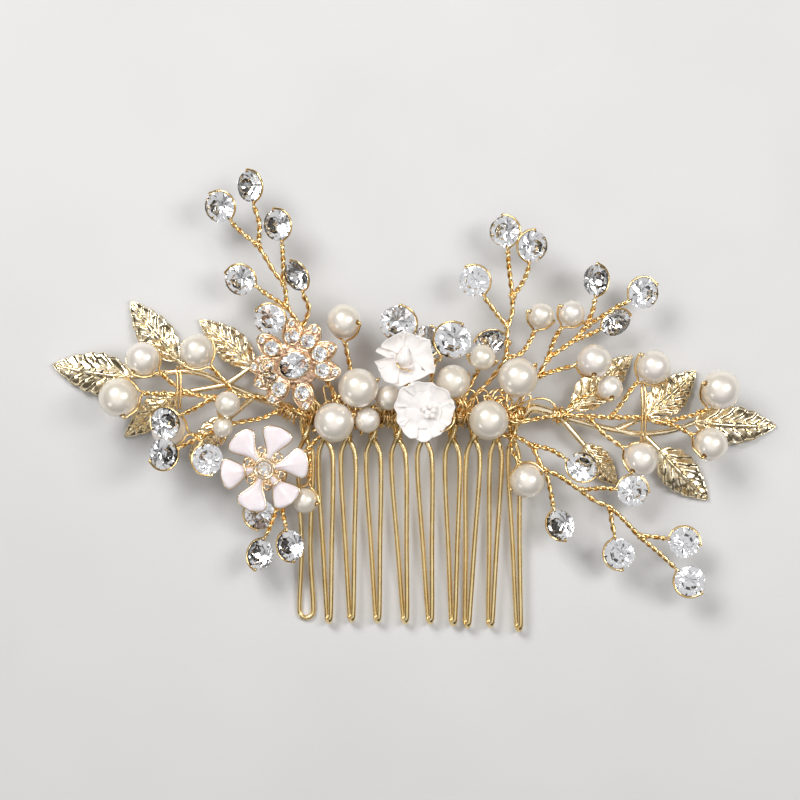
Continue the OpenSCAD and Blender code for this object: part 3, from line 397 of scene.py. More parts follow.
class Shape:
    """Collects vertices and faces in millimetres for one Blender object."""

    def __init__(self):
        self.verts, self.faces, self.looks, self.smooth = [], [], [], []

    def add(self, verts, faces, place=None, smooth=True, look_of=None):
        start = len(self.verts)
        self.verts += [place @ Vector(v) for v in verts] if place else [Vector(v) for v in verts]
        self.faces += [tuple(start + i for i in f) for f in faces]
        self.looks += [look_of(f) if look_of else 0 for f in range(len(faces))]
        self.smooth += [smooth] * len(faces)

    def tube(self, path, radius, sides, place=None):
        """A tube along the path; radius is a number or a function of the fraction along it."""
        verts = []
        last = len(path) - 1
        for i, (p, (u, w)) in enumerate(zip(path, travelling_frames(path))):
            r = radius(i / last) if callable(radius) else radius
            for k in range(sides):
                a = tau * k / sides
                verts.append(p + r * (cos(a) * u + sin(a) * w))
        ends = [tuple(range(sides - 1, -1, -1)), tuple(last * sides + k for k in range(sides))]
        self.add(verts, quads(len(path), sides) + ends, place)

    def ring(self, path, radius, sides, place):
        """A tube along a closed path."""
        count = len(path)
        verts = []
        for i, p in enumerate(path):
            along = (path[(i + 1) % count] - path[i - 1]).normalized()
            u = along.cross(UP).normalized() if abs(along.z) < 0.95 else along.orthogonal().normalized()
            w = along.cross(u)
            for k in range(sides):
                a = tau * k / sides
                verts.append(p + radius * (cos(a) * u + sin(a) * w))
        self.add(verts, quads(count, sides, True), place)

    def lathe(self, profile, look_of, segments, place):
        """A closed profile of (distance from the axis, height) turned about Z, looks by step."""
        turns = [(cos(tau * k / segments), sin(tau * k / segments)) for k in range(segments)]
        self.add([(r * c, r * s, z) for r, z in profile for c, s in turns],
                 quads(len(profile), segments, True), place, True, lambda f: look_of(f // segments))

    def ball(self, centre, radius, place, stretch, segments):
        rows = segments // 2
        verts = [(0, 0, -1)]
        for i in range(1, rows):
            b = pi * i / rows - pi / 2
            verts += [(cos(b) * cos(tau * k / segments),
                       cos(b) * sin(tau * k / segments), sin(b)) for k in range(segments)]
        verts.append((0, 0, 1))
        top = len(verts) - 1
        faces = [(0, 1 + (k + 1) % segments, 1 + k) for k in range(segments)]
        faces += [tuple(1 + v for v in f) for f in quads(rows - 1, segments)]
        a = 1 + (rows - 2) * segments
        faces += [(a + k, a + (k + 1) % segments, top) for k in range(segments)]
        c = Vector(centre)
        self.add([c + radius * Vector(v) * Vector(stretch) for v in verts], faces, place)

    def slab(self, rows, cols, point, place, closed=False):
        """A closed sheet: point(row, column, lower) is on its top or on its lower face."""
        verts = [point(i, j, lower) for lower in (False, True) for i in range(rows) for j in range(cols)]
        half, last = rows * cols, (rows - 1) * cols
        faces = []
        for j in range(cols if closed else cols - 1):
            n = (j + 1) % cols
            for a in range(0, last, cols):
                b = a + cols
                faces += [(a + j, a + n, b + n, b + j),
                          (half + b + j, half + b + n, half + a + n, half + a + j)]
            faces += [(half + j, half + n, n, j), (last + j, last + n, half + last + n, half + last + j)]
        for a in range(0, 0 if closed else last, cols):
            b, c, d = a + cols, a + cols - 1, a + 2 * cols - 1
            faces += [(a, b, half + b, half + a), (d, c, half + c, half + d)]
        self.add(verts, faces, place)

    def plate(self, outline, top, floor, rings, segments, place, hole=0.0):
        """A plate of radius outline(angle) between top(x, y, t) and floor(t); t runs 0 to 1 outwards."""
        def point(i, j, lower):
            t = hole + (1 - hole) * (i / (rings - 1)) ** 0.85
            a = tau * j / segments
            r = outline(a) * max(t, 0.001)
            x, y = r * cos(a), r * sin(a)
            return Vector((x, y, floor(t) if lower else top(x, y, t)))
        self.slab(rings, segments, point, place, True)

    def piece(self, name, body, slot, looks, *nodes):
        mesh = bpy.data.meshes.new(name)
        mesh.from_pydata([v * MM for v in self.verts], [], self.faces)
        for look in looks:
            mesh.materials.append(look)
        mesh.polygons.foreach_set("material_index", self.looks)
        mesh.polygons.foreach_set("use_smooth", self.smooth)
        mesh.validate()
        mesh.update()
        o = add_to_scene(name, mesh)
        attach(o, body)
        if nodes:
            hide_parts(*nodes)


# ---- Wire work ----
def twisted_pair(shape, route, pitch, phase):
    """Two wires wound round each other along the route, with a little sway."""
    path = smooth_route(route, 0.2)
    strands = ([], [])
    travelled, wobble = 0.0, 0.06
    for i, (p, (u, w)) in enumerate(zip(path, travelling_frames(path))):
        if i:
            travelled += (p - path[i - 1]).length
        a = tau * travelled / pitch + phase + 0.6 * sin(travelled * 0.55 + phase)
        sway = Vector(noise.noise_vector(p * 0.33 + Vector((phase, 0, 0)))) * wobble * min(1, travelled)
        for strand, turn in zip(strands, (0, pi)):
            strand.append(p + sway + WIRE_R * 0.98 * (cos(a + turn) * u + sin(a + turn) * w))
    for strand in strands:
        shape.tube(strand, WIRE_R, 7)


def coil(shape, start, along, radius, turns, pitch, wire_r, phase, wander, sides=6):
    """A helix of wire that starts at a point and runs along a direction."""
    along = along.normalized()
    u = along.orthogonal().normalized()
    w = along.cross(u)
    steps = int(turns * COIL_STEPS)
    path = []
    for i in range(steps + 1):
        a = tau * turns * i / steps + phase
        r = radius * (1 + wander * ripple(i * 0.11, phase, radius * 3))
        shift = wander * 0.5 * ripple(phase, i * 0.09, 5)
        path.append(start + along * (pitch * turns * i / steps + shift) + r * (cos(a) * u + sin(a) * w))
    shape.tube(path, wire_r, sides)


def knot(shape, at, along, seed):
    """About one and a half turns of wire where a stem branches."""
    radius, turns, pitch, wander = 0.46, 1.4, 0.42, 0.1
    coil(shape, Vector(at), Vector(along), radius, turns, pitch, WIRE_R * 0.95, seed, wander)


def bead_frame(centre, direction, roll):
    """A bead's own axes: the stem comes from -Y, and the bead is rolled about it."""
    v = direction.normalized()
    turn = math.degrees(atan2(v.x, -v.y))
    drop = math.degrees(asin(-v.z))
    return Matrix.Translation(centre) @ spin("Z", turn) @ spin("X", drop) @ spin("Y", roll)


def arc(radius, first, last, count):
    angles = [radians(first + (last - first) * i / count) for i in range(count + 1)]
    return [Vector((radius * cos(a), radius * sin(a), 0)) for a in angles]


def mirrored(path, side):
    return [Vector((side * p.x, p.y, p.z)) for p in path]


def pearl_legs(shape, place, radius):
    """The two wires that open from the twist, hug the pearl and turn into its hole."""
    reach = radius + WIRE_R + 0.07
    for side in (-1, 1):
        points = [(0.16, -(reach + 0.95), 0.05), (0.2, -(reach + 0.5), 0), (0.55, -(reach + 0.06), 0)]
        points += arc(reach, -66, -17, 4)
        points += [(reach + 0.13, -0.34, 0), (reach + 0.06, -0.06, 0), (reach - 0.45, 0, 0),
                   (reach - 1.1, 0, 0)]
        shape.tube(mirrored(smooth_route(points, 0.16), side), WIRE_R * 0.92, 8, place)


def crystal_legs(shape, place, radius, side):
    """One wire goes straight into the stone, comes out beyond it and folds back round one side."""
    reach, leg_r = radius + 0.14, WIRE_R * 0.8
    straight = [(0.15 * side, -(reach + 0.95), 0), (0, -(reach + 0.2), 0), (0, -(radius - 0.35), -0.05)]
    shape.tube(smooth_route(straight, 0.2), leg_r, 7, place)
    folded = [(-0.15, -(reach + 0.95), 0), (0.12, -(reach + 0.38), 0)]
    folded += arc(reach, -78, 76, 8)
    folded += [(0.1, reach + 0.12, 0), (0, radius - 0.3, -0.05)]
    shape.tube(mirrored(smooth_route(folded, 0.2), side), leg_r, 7, place)


PEARL_AXIS = {j["child"]: Vector(j["axis"]) for j in frame["joints"]}
PEARL_CENTRE = {j["child"]: Vector(j["pos_m"]) / MM for j in frame["joints"]}


def pearl_radius(i):
    low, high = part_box(f"pearl_{i:02d}")
    return max(high - low) / 2 / MM


def pearl_place(i):
    """The pearl's frame: X along its hole, the stem from -Y."""
    name = f"pearl_{i:02d}"
    centre = PEARL_CENTRE[name]
    x = PEARL_AXIS[name].normalized()
    y = (centre - Vector(PEARL_STEMS[i - 1][-1])).normalized()
    z = x.cross(y).normalized()
    turn = Matrix((x, z.cross(x), z)).transposed().to_4x4()
    return Matrix.Translation(centre) @ turn


def stem_to(shape, route, place, reach, seed):
    """The twisted stem of a bead, from its joint to just short of the bead."""
    end = place @ Vector((0, -(reach + 0.75), 0))
    points = [Vector(p) for p in route]
    if (points[-1] - end).length < 0.8 and len(points) > 1:
        points.pop()
    points.append(end)
    if (points[1] - points[0]).length > 0.3:
        twisted_pair(shape, points, BRANCH_PITCH, seed)
    if points[0].z != HOOK_Z:
        knot(shape, points[0], points[1] - points[0], seed)


def make_sprays():
    for s, (name, (stems, pearls, crystals)) in enumerate(SPRAYS.items()):
        shape = Shape()
        for k, stem in enumerate(stems):
            twisted_pair(shape, stem, STEM_PITCH, s + 2.1 * k)
            if k:
                knot(shape, stem[0], Vector(stem[1]) - Vector(stem[0]), s + k)
        for x, low, high, z in TIES.get(name, []):
            points = [(x, low - 0.5, z - 0.9), (x - 0.05, low, z), (x + 0.08, (low + high) / 2, z + 0.35),
                      (x, high, z), (x + 0.1, high + 0.5, z - 0.9)]
            shape.tube(smooth_route(points), WIRE_R * 0.9, 8)
        for i in pearls:
            place = pearl_place(i)
            radius = pearl_radius(i)
            stem_to(shape, PEARL_STEMS[i - 1], place, radius, i * 1.3)
            pearl_legs(shape, place, radius)
        for n, (centre, d, roll, side, route) in enumerate(CRYSTALS.get(crystals, [])):
            centre = Vector(centre)
            place = bead_frame(centre, Vector(route[-1]) - centre, roll)
            stem_to(shape, route, place, d / 2, n * 1.7 + s)
            crystal_legs(shape, place, d / 2, side)
        replaced = ["wires_" + name] + (["pearl_pins"] if name == "left_mid" else [])
        shape.piece("twisted_" + name, "comb", "wire_gold", [WIRE], *replaced)


# ---- Beads and stones ----
def make_pearls():
    """Drilled pearls: the coating stops at a countersunk mouth, and the bare core shows in the hole."""
    for i in range(1, len(PEARL_STEMS) + 1):
        radius = pearl_radius(i) * 0.995
        bore = 0.29
        mouth = 0.36 + 0.065 * radius
        lip = math.degrees(asin(mouth / radius))
        sink = radius * cos(radians(lip))
        core = [(bore, sink - 0.5), (mouth * 0.72, sink - 0.18), (mouth * 0.95, sink - 0.02)]
        rows = 44
        coat = []
        for k in range(rows + 1):
            a = radians(lip + 1 + (178 - 2 * lip) * k / rows)
            coat.append((radius * sin(a), radius * cos(a)))
        profile = [(r, -z) for r, z in core] + coat[::-1] + core[::-1]
        coated = range(len(core) - 1, len(core) + len(coat))
        shape = Shape()
        shape.lathe(profile, lambda k: 0 if k in coated else 1, 56, pearl_place(i) @ spin("Y", 90))
        shape.piece(f"pearl_bead_{i:02d}", f"pearl_{i:02d}", "pearl", [PEARL, CORE], f"pearl_{i:02d}")


def brilliant(shape, place, r, depth=0.88, crown=0.30, table=0.56, squash=1.0):
    """A brilliant-cut stone in its own frame: clear crown (look 0) over a foiled pavilion (look 1)."""
    def at(radius, degrees, z):
        a = radians(degrees)
        return Vector((r * radius * cos(a), r * radius * squash * sin(a), r * z))
    girdle = 0.05
    top = [at(table, 45 * k, crown) for k in range(8)]
    kite = [at(0.80, 45 * k + 22.5, crown * 0.50) for k in range(8)]
    rim = [at(1.0, 22.5 * k, girdle) for k in range(16)]
    under = [at(1.0, 22.5 * k, -girdle) for k in range(16)]
    waist = [at(0.45, 45 * k, -girdle - 0.56 * depth) for k in range(8)]
    t, kt, rm, un, ws, culet = 0, 8, 16, 32, 48, 56  # where each row of corners starts
    clear = [tuple(range(8))]
    backs = []
    for k in range(8):
        n = (k + 1) % 8
        a, m, b = 2 * k, 2 * k + 1, (2 * k + 2) % 16
        clear += [(t + k, kt + k, t + n), (t + k, rm + a, kt + k), (t + n, kt + k, rm + b),
                  (kt + k, rm + a, rm + m), (kt + k, rm + m, rm + b)]
        backs += [(un + a, ws + k, un + m), (un + m, ws + n, un + b),
                  (un + m, ws + k, culet), (un + m, culet, ws + n)]
    for k in range(16):
        n = (k + 1) % 16
        clear.append((rm + k, un + k, un + n, rm + n))
    points = top + kite + rim + under + waist + [at(0, 0, -depth)]
    shape.add(points, clear + backs, place, False, lambda f: int(f >= len(clear)))


def make_crystals():
    for name, rows in CRYSTALS.items():
        shape = Shape()
        for n, (centre, d, roll, _, route) in enumerate(rows):
            centre = Vector(centre)
            place = bead_frame(centre, Vector(route[-1]) - centre, roll)
            brilliant(shape, place @ spin("Z", 37 * n), d / 2 * 0.99)
        shape.piece("stones_" + name, "comb", "crystal", [CROWN, FOIL], "crystals_" + name)


# ---- The comb ----
def make_rail():
    shape = Shape()
    steps = 60
    path = [Vector((RAIL_START + (RAIL_END - RAIL_START) * i / steps, RAIL_Y, RAIL_Z))
            for i in range(steps + 1)]
    shape.tube(path, lambda t: RAIL_R * (0.96 + 0.03 * sin(40 * t)), 20)
    shape.piece("rail_rod", "comb", "comb_gold", [TOOTH], "comb_rail")


def make_teeth():
    """Hairpins: the legs cross under a small binding, bow apart and close at the tips."""
    wire_r, bow = 0.45, 1.3
    # (y, share of the bow, z) down each leg
    widths = ((-7.4, 0.42, 3.3), (-8.8, 0.85, 3.1), (-11.6, 1.0, 2.9), (-26.0, 0.6, 1.6))
    shape = Shape()
    for n, (x_rail, x_tip, y_tip, half, lift, share) in enumerate(TEETH):
        def centre(y):
            return x_rail + (x_tip - x_rail) * (y - NECK_Y) / (y_tip - NECK_Y)
        legs = []
        for side in (-1, 1):
            points = [(x_rail - side * 0.62, RAIL_Y - 1.0, RAIL_Z + 0.55),
                      (x_rail - side * 0.45, NECK_Y + 1.5, 3.45 - side * 0.25),
                      (x_rail - side * 0.05, NECK_Y + 0.35, 3.35 - side * 0.44)]
            for y, spread, z in widths:
                rise = (side + 1) * lift / 4 * (NECK_Y - y) / (NECK_Y + 26)
                points.append((centre(y) + side * share * bow * spread, y, z + rise))
            legs.append(points)
        round_r = max(half, lift / 2)
        bend = []
        for a in range(0, 181, 30):
            c, s = cos(radians(a)), sin(radians(a))
            bend.append((x_tip - half * c, y_tip + round_r * (1 - s), wire_r + lift * (1 - c) / 2))
        path = smooth_route(legs[0] + bend + legs[1][::-1], 0.35)
        shape.tube(path, wire_r, 12)
        start = Vector((x_rail - 0.75, RAIL_Y, RAIL_Z))
        coil(shape, start, ALONG_RAIL, 1.24, 1.9, 0.8, 0.4, n, 0.02, 9)
    shape.piece("hairpin_teeth", "comb", "comb_gold", [TOOTH], "comb_teeth")
    bindings = Shape()
    for n, tooth in enumerate(TEETH):
        coil(bindings, Vector((tooth[0], NECK_Y + 0.95, 3.36)), Vector((0.06, -1, 0)),
             0.66, 2.3, 0.42, 0.2, n * 1.9, 0.12, 7)
    bindings.piece("tooth_bindings", "comb", "wire_gold", [WIRE])


def loops_of_wire(shape, rng, first, last, count, low, high):
    """Loose loops that stand out from the rail and return to it."""
    for _ in range(count):
        x = rng.uniform(first, last)
        tall = rng.uniform(low, high)
        lean = rng.uniform(-4.5, 4.5)
        z = rng.uniform(4.3, 5.9)
        wide = rng.uniform(0.4, 1.5)
        points = [(x - wide, RAIL_Y - 1.1, z - 1.3), (x - wide + 0.25 * lean, RAIL_Y + 0.35 * tall, z),
                  (x - 0.4 * wide + 0.8 * lean, RAIL_Y + 0.93 * tall, z + 0.25),
                  (x + 0.5 * wide + 0.85 * lean, RAIL_Y + 0.9 * tall, z + 0.05),
                  (x + wide + 0.4 * lean, RAIL_Y + 0.35 * tall, z + rng.uniform(-0.5, 0.6)),
                  (x + wide, RAIL_Y - 1.1, z - 1.3)]
        shape.tube(smooth_route(points, 0.2), 0.2, 7)


def make_binding():
    """The thin wire that lashes everything to the rail, and its nest of loops."""
    rng = random.Random(11)
    shape = Shape()
    length = RAIL_END - RAIL_START
    lashes, lash_r = 66, 1.03
    coil(shape, Vector((RAIL_START - 0.3, RAIL_Y, RAIL_Z)), ALONG_RAIL, lash_r, lashes,
         (length + 0.8) / lashes, 0.19, 0, 0.12)
    x = RAIL_START
    while x < RAIL_END:
        turns = rng.uniform(1.6, 3.4)
        lean = Vector((1, rng.uniform(-0.35, 0.35), rng.uniform(-0.2, 0.2)))
        coil(shape, Vector((x, RAIL_Y, RAIL_Z + 0.1)), lean, rng.uniform(1.3, 1.75), turns,
             rng.uniform(0.3, 0.6), 0.18, rng.uniform(0, 6), 0.5)
        x += rng.uniform(0.5, 1.1)
    loops_of_wire(shape, rng, -20.0, -12.0, 16, 2.2, 6.4)
    loops_of_wire(shape, rng, -12.0, 5.0, 9, 1.6, 3.0)
    loops_of_wire(shape, rng, 9.5, 17.5, 20, 2.0, 5.6)
    shape.tube(smooth_route([(14.6, -3.4, 5.2), (16.4, -1.6, 6.0), (19.2, -0.3, 6.3), (22.2, 0.5, 5.9),
                             (24.2, -0.3, 5.4), (25.3, -2.6, 4.9), (25.0, -3.8, 4.0)]), 0.22, 8)
    for at, along, r, turns in (((-21.6, -2.3, 4.3), (-1, 0.55, 0.1), 1.45, 4.5),
                                ((18.2, -2.5, 4.2), (1, 0.1, 0.1), 1.6, 2.2),
                                ((24.2, -2.3, 4.7), (1, -0.25, 0), 1.45, 3.6),
                                ((25.4, -2.7, 4.8), (0.8, 0.5, 0), 1.3, 2.4)):
        coil(shape, Vector(at), Vector(along), r, turns, 0.5, 0.18, turns, 0.35)
    shape.piece("binding_nest", "comb", "wire_gold", [WIRE], "binding_wire")


# ---- Leaves ----
def step_between(low, high, x):
    t = max(0.0, min(1.0, (x - low) / (high - low)))
    return t * t * (3 - 2 * t)


def leaf(shape, base, tip, width, bend, seed):
    """A cast leaf: serrated edge, raised midrib, and side veins with deep hollows between them."""
    base, tip = Vector(base), Vector(tip)
    v = tip - base
    length = v.length
    place = Matrix.Translation(base) @ spin("Z", math.degrees(atan2(v.y, v.x)))
    place = place @ spin("Y", math.degrees(asin(-v.z / length)))
    rows, cols, serrations, veins = 110, 31, 6, 6.5
    cup_height, fold_height, pit_depth, rib_height, rim_height = 0.7, 0.42, 0.45, 0.34, 0.12

    def half_width(u):
        swell = sin(pi * min(1.0, u) ** 0.85) ** 0.8 * (1 - 0.12 * u) + 0.08 * (1 - u)
        lobe = abs(sin(pi * (u * serrations + 0.15)))
        return max(width / 2 * swell * (0.88 + 0.16 * lobe ** 0.6), 0.05)

    def point(i, j, lower):
        u = i / (rows - 1)
        side = 2 * j / (cols - 1) - 1
        w = half_width(u)
        a = abs(side)
        y = side * w + bend * (u * u - u)
        x = length * (u - 0.004)
        if lower:
            return Vector((x, y, -0.42 + 0.25 * (1 - a)))
        phase = veins * (u - a * w / length) + 0.1 * ripple(u * 3, side * 2, seed)
        fold = phase % 1.0
        slope = fold if fold < 0.8 else 4 * (1 - fold)
        ends = step_between(0.02, 0.12, u) * (1 - step_between(0.82, 0.96, u))
        pit = step_between(0.06, 0.14, a) * (1 - step_between(0.25, 0.55, a)) * ends
        cup = (0.3 + 0.7 * w / (width / 2)) * cup_height
        z = cup * (1 - a * a) - 0.2
        z += (fold_height * slope - 0.2) * step_between(0.08, 0.22, a) * ends
        z -= pit_depth * pit * step_between(0.55, 0.8, fold) * (1 - step_between(0.88, 1.0, fold))
        z += rib_height * exp(-(side / 0.075) ** 2) - 0.14 * exp(-((a - 0.13) / 0.05) ** 2)
        z += rim_height * exp(-((a - 0.94) / 0.05) ** 2)
        z += 0.30 * ripple(x * 0.22, y * 0.3, seed * 3)
        return Vector((x, y, max(z, -0.35)))

    shape.slab(rows, cols, point, place)


def make_leaves():
    for name, (root, stems, leaves) in CASTINGS.items():
        shape = Shape()
        shape.tube(smooth_route(root, 0.3), lambda t: 1.05 - 0.2 * t, 16)
        for stem in stems:
            shape.tube(smooth_route(stem, 0.3), lambda t: 0.62 - 0.14 * t, 12)
        for n, (base, tip, width, bend) in enumerate(leaves):
            leaf(shape, base, tip, width, bend, n + 0.37 * len(name))
        shape.piece("cast_leaves_" + name, "comb", "leaf_gold", [LEAF], "leaf_branch_" + name)


# ---- Flowers ----
def circle(radius, z, count, centre=(0, 0), squash=1.0):
    return [Vector((centre[0] + radius * cos(tau * k / count),
                    centre[1] + radius * squash * sin(tau * k / count), z)) for k in range(count)]


def make_strass_flower():
    base, rims, gems, centre = Shape(), Shape(), Shape(), Shape()
    place = Matrix.Translation(STRASS_AT) @ spin("Y", STRASS_TILT[1]) @ spin("X", STRASS_TILT[0])

    def grain(x, y, seed=0.0):
        bumps = ripple(x * 1.5, y * 1.5, seed) + 0.6 * ripple(x * 3.1, y * 3.1, seed + 4)
        return 0.26 * bumps

    def hub_top(x, y, t):
        return min(0.75 + 0.35 * (1 - t * t) + grain(x, y), 0.8 * hypot(x, y) - 0.5)

    base.plate(lambda a: 4.3 + 0.15 * sin(9 * a), hub_top, lambda t: -0.7, 14, 72, place, 0.05)
    middle, long_r, short_r = 5.45, 2.65, 1.78
    stone_r, tip_stone_r, claw_r, edge_points = 1.26, 0.56, 1.3, 44
    for n, angle in enumerate(STRASS_ANGLES):
        turned = place @ spin("Z", angle) @ move(0, 0, 0.05 + 0.12 * (n % 3))
        petal = turned @ move(middle, 0, 0)

        def outline(a):
            c, s = cos(a), sin(a)
            pinch = 1 - 0.16 * max(0.0, c) ** 2
            return 1 / sqrt((c / long_r) ** 2 + (s / (short_r * pinch)) ** 2)

        def top(x, y, t, n=n):
            stone = hypot(x + middle - STRASS_RING_R, y)
            tip = hypot(x + middle - STRASS_TIP_R, y)
            z = 0.8 + grain(x, y, n + 1) * (1 - t ** 6) - 0.35 * t ** 8
            return min(z, 1.05 * stone - 0.38, 1.05 * tip + 0.12)

        base.plate(outline, top, lambda t: -0.45, 14, edge_points, petal)
        edge = [Vector((outline(a) * cos(a), outline(a) * sin(a), 0.55))
                for a in (tau * k / edge_points for k in range(edge_points))]
        rims.ring(edge, 0.17, 7, petal)
        rims.ring(circle(1.36, 0.98, 30, (STRASS_RING_R, 0)), 0.16, 7, turned)
        rims.ring(circle(0.62, 0.78, 20, (STRASS_TIP_R, 0)), 0.13, 6, turned)
        for k in range(4):
            a = radians(45 + 90 * k)
            rims.ball((STRASS_RING_R + claw_r * cos(a), claw_r * sin(a), 1.1), 0.2, turned, (1, 1, 0.8), 8)
        brilliant(gems, turned @ move(STRASS_RING_R, 0, 0.98) @ spin("Z", 31 * n), stone_r, 0.86, 0.34)
        brilliant(gems, turned @ move(STRASS_TIP_R, 0, 0.75) @ spin("Z", 17 * n), tip_stone_r, 0.86, 0.36)
    oval = place @ spin("Z", 20)
    squash = 0.82
    rims.ring(circle(2.72, 1.42, 44, (0, 0), squash), 0.2, 8, oval)
    brilliant(centre, oval @ move(0, 0, 1.6), 2.6, 0.76, 0.30, 0.55, squash)
    base.piece("strass_plate", "comb", "rose_gold", [ROSE_METAL], "strass_flower_base")
    rims.piece("strass_rims", "comb", "rose_gold", [RIM_METAL])
    gems.piece("strass_petal_gems", "comb", "crystal", [CROWN, FOIL], "strass_petal_stones")
    centre.piece("strass_centre_gem", "comb", "crystal", [CROWN, FOIL], "strass_centre_stone")


def enamel_half_width(t):
    """Half width of an enamel petal at t = 0 (foot) to 1 (outer edge)."""
    flare = 0.45 + 2.2 * step_between(0.02, 0.86, t)
    if t > 0.70:
        flare *= max(0.0, 1 - ((t - 0.70) / 0.30) ** 2.3) ** 0.5
    return max(flare, 0.03)


def make_enamel_flower():
    metal, fills, gem = Shape(), Shape(), Shape()
    place = Matrix.Translation(ENAMEL_AT) @ spin("Z", ENAMEL_TURN)

    def hub_top(x, y, t):
        return min(0.75 - 0.2 * t ** 4, hypot(x, y) - 0.5)

    metal.plate(lambda a: 2.7 + 0.25 * cos(6 * a), hub_top, lambda t: -0.6, 10, 60, place)
    foot, reach = 1.9, 5.75
    rows, cols = 34, 21
    for k in range(6):
        turned = place @ spin("Z", 60 * k + 1.5 * sin(3.3 * k)) @ spin("X", 3.0 * sin(2.1 * k + 0.5))

        def point(i, j, lower, k=k, grow=0.0):
            t = i / (rows - 1)
            side = 2 * j / (cols - 1) - 1
            r = foot + reach * (t ** 0.95)
            y = side * (enamel_half_width(t) + grow)
            if lower:
                return Vector((r, y, 0.42))
            dome = (1 - abs(side) ** 3.0) * (1 - 0.9 * max(0.0, t - 0.8) ** 1.5)
            crease = 0.16 * exp(-((side - 0.15 * sin(2 * k)) / 0.22) ** 2) * (1 - 0.6 * t)
            z = 0.62 + 0.42 * dome + crease + 0.25 * t * (1 - t)
            return Vector((r, y, z + 0.05 * ripple(r * 0.7, y * 0.7, k * 3.0)))

        fills.slab(rows, cols, point, turned)
        edge = [point(i, 0, True, grow=0.03) for i in range(1, rows)]
        edge += [point(i, cols - 1, True, grow=0.03) for i in range(rows - 1, 0, -1)]
        metal.ring([p + Vector((0, 0, 0.06)) for p in edge], 0.17, 6, turned)
        gap = place @ spin("Z", 60 * k + 30)
        metal.ring(circle(0.62, 0.55, 18, (3.15, 0)), 0.19, 7, gap)
        metal.ring(circle(0.34, 0.95, 14, (2.5, 0)), 0.13, 6, gap)
    metal.ring(circle(1.74, 1.05, 32), 0.2, 8, place)
    brilliant(gem, place @ move(0, 0, 1.1), 1.64, 0.86, 0.34)
    for angle, out in ((186, 3.3), (-52, 3.2)):
        across = Matrix.Translation(ENAMEL_AT) @ spin("Z", angle)
        points = [(out - 0.1, -2.1, -0.3), (out, -1.75, 0.85), (out + 0.05, -0.6, 1.45),
                  (out + 0.05, 0.7, 1.42), (out - 0.05, 1.75, 0.8), (out - 0.2, 2.2, -0.4)]
        metal.tube(smooth_route(points), 0.19, 8, across)
    metal.piece("enamel_casting", "comb", "flower_gold", [RIM_METAL], "enamel_flower_base")
    fills.piece("enamel_fills", "comb", "enamel", [ENAMEL], "enamel_petals")
    gem.piece("enamel_gem", "comb", "crystal", [CROWN, FOIL], "enamel_centre_stone")


def rim_between(corners, degrees):
    """Distance from the centre to the straight-sided outline with these (angle, radius) corners."""
    a = degrees % 360
    points = sorted((c % 360, r) for c, r in corners)
    points = [(points[-1][0] - 360, points[-1][1])] + points + [(points[0][0] + 360, points[0][1])]
    for (a0, r0), (a1, r1) in zip(points, points[1:]):
        if a0 <= a <= a1:
            p, q, b = radians(a0), radians(a1), radians(a)
            return r0 * r1 * sin(q - p) / (r0 * sin(b - p) + r1 * sin(q - b))
    return points[0][1]


def clay_petal(shape, place, angle, spread, rim, height, curl, seed, inner=0.6):
    """A thin petal: a fan about the flower's axis, dipped near the middle, with a ruffled edge."""
    rows, cols = 22, 34

    def point(i, j, lower):
        t = i / (rows - 1)
        side = 2 * j / (cols - 1) - 1
        degrees = angle + spread * side * (0.6 + 0.4 * t)
        a = radians(degrees)
        edge = rim(degrees) * (1 - 0.10 * abs(side) ** 6)
        edge *= 1 + 0.035 * ripple(degrees * 0.09, seed, 1)
        r = inner + (edge - inner) * t
        z = height * (t ** 2.2 - 0.25 * sin(pi * t)) + 0.16 * side * t
        z += curl * t ** 2.5 * ripple(degrees * 0.045, seed * 2, 2)
        z += 0.10 * t * (1 - t) * cos(7 * side + seed)
        z += 0.14 * exp(-((1 - t) / 0.05) ** 2)
        thick = 0.45 - 0.2 * t
        return Vector((r * cos(a), r * sin(a), z - (thick if lower else 0)))

    shape.slab(rows, cols, point, place)


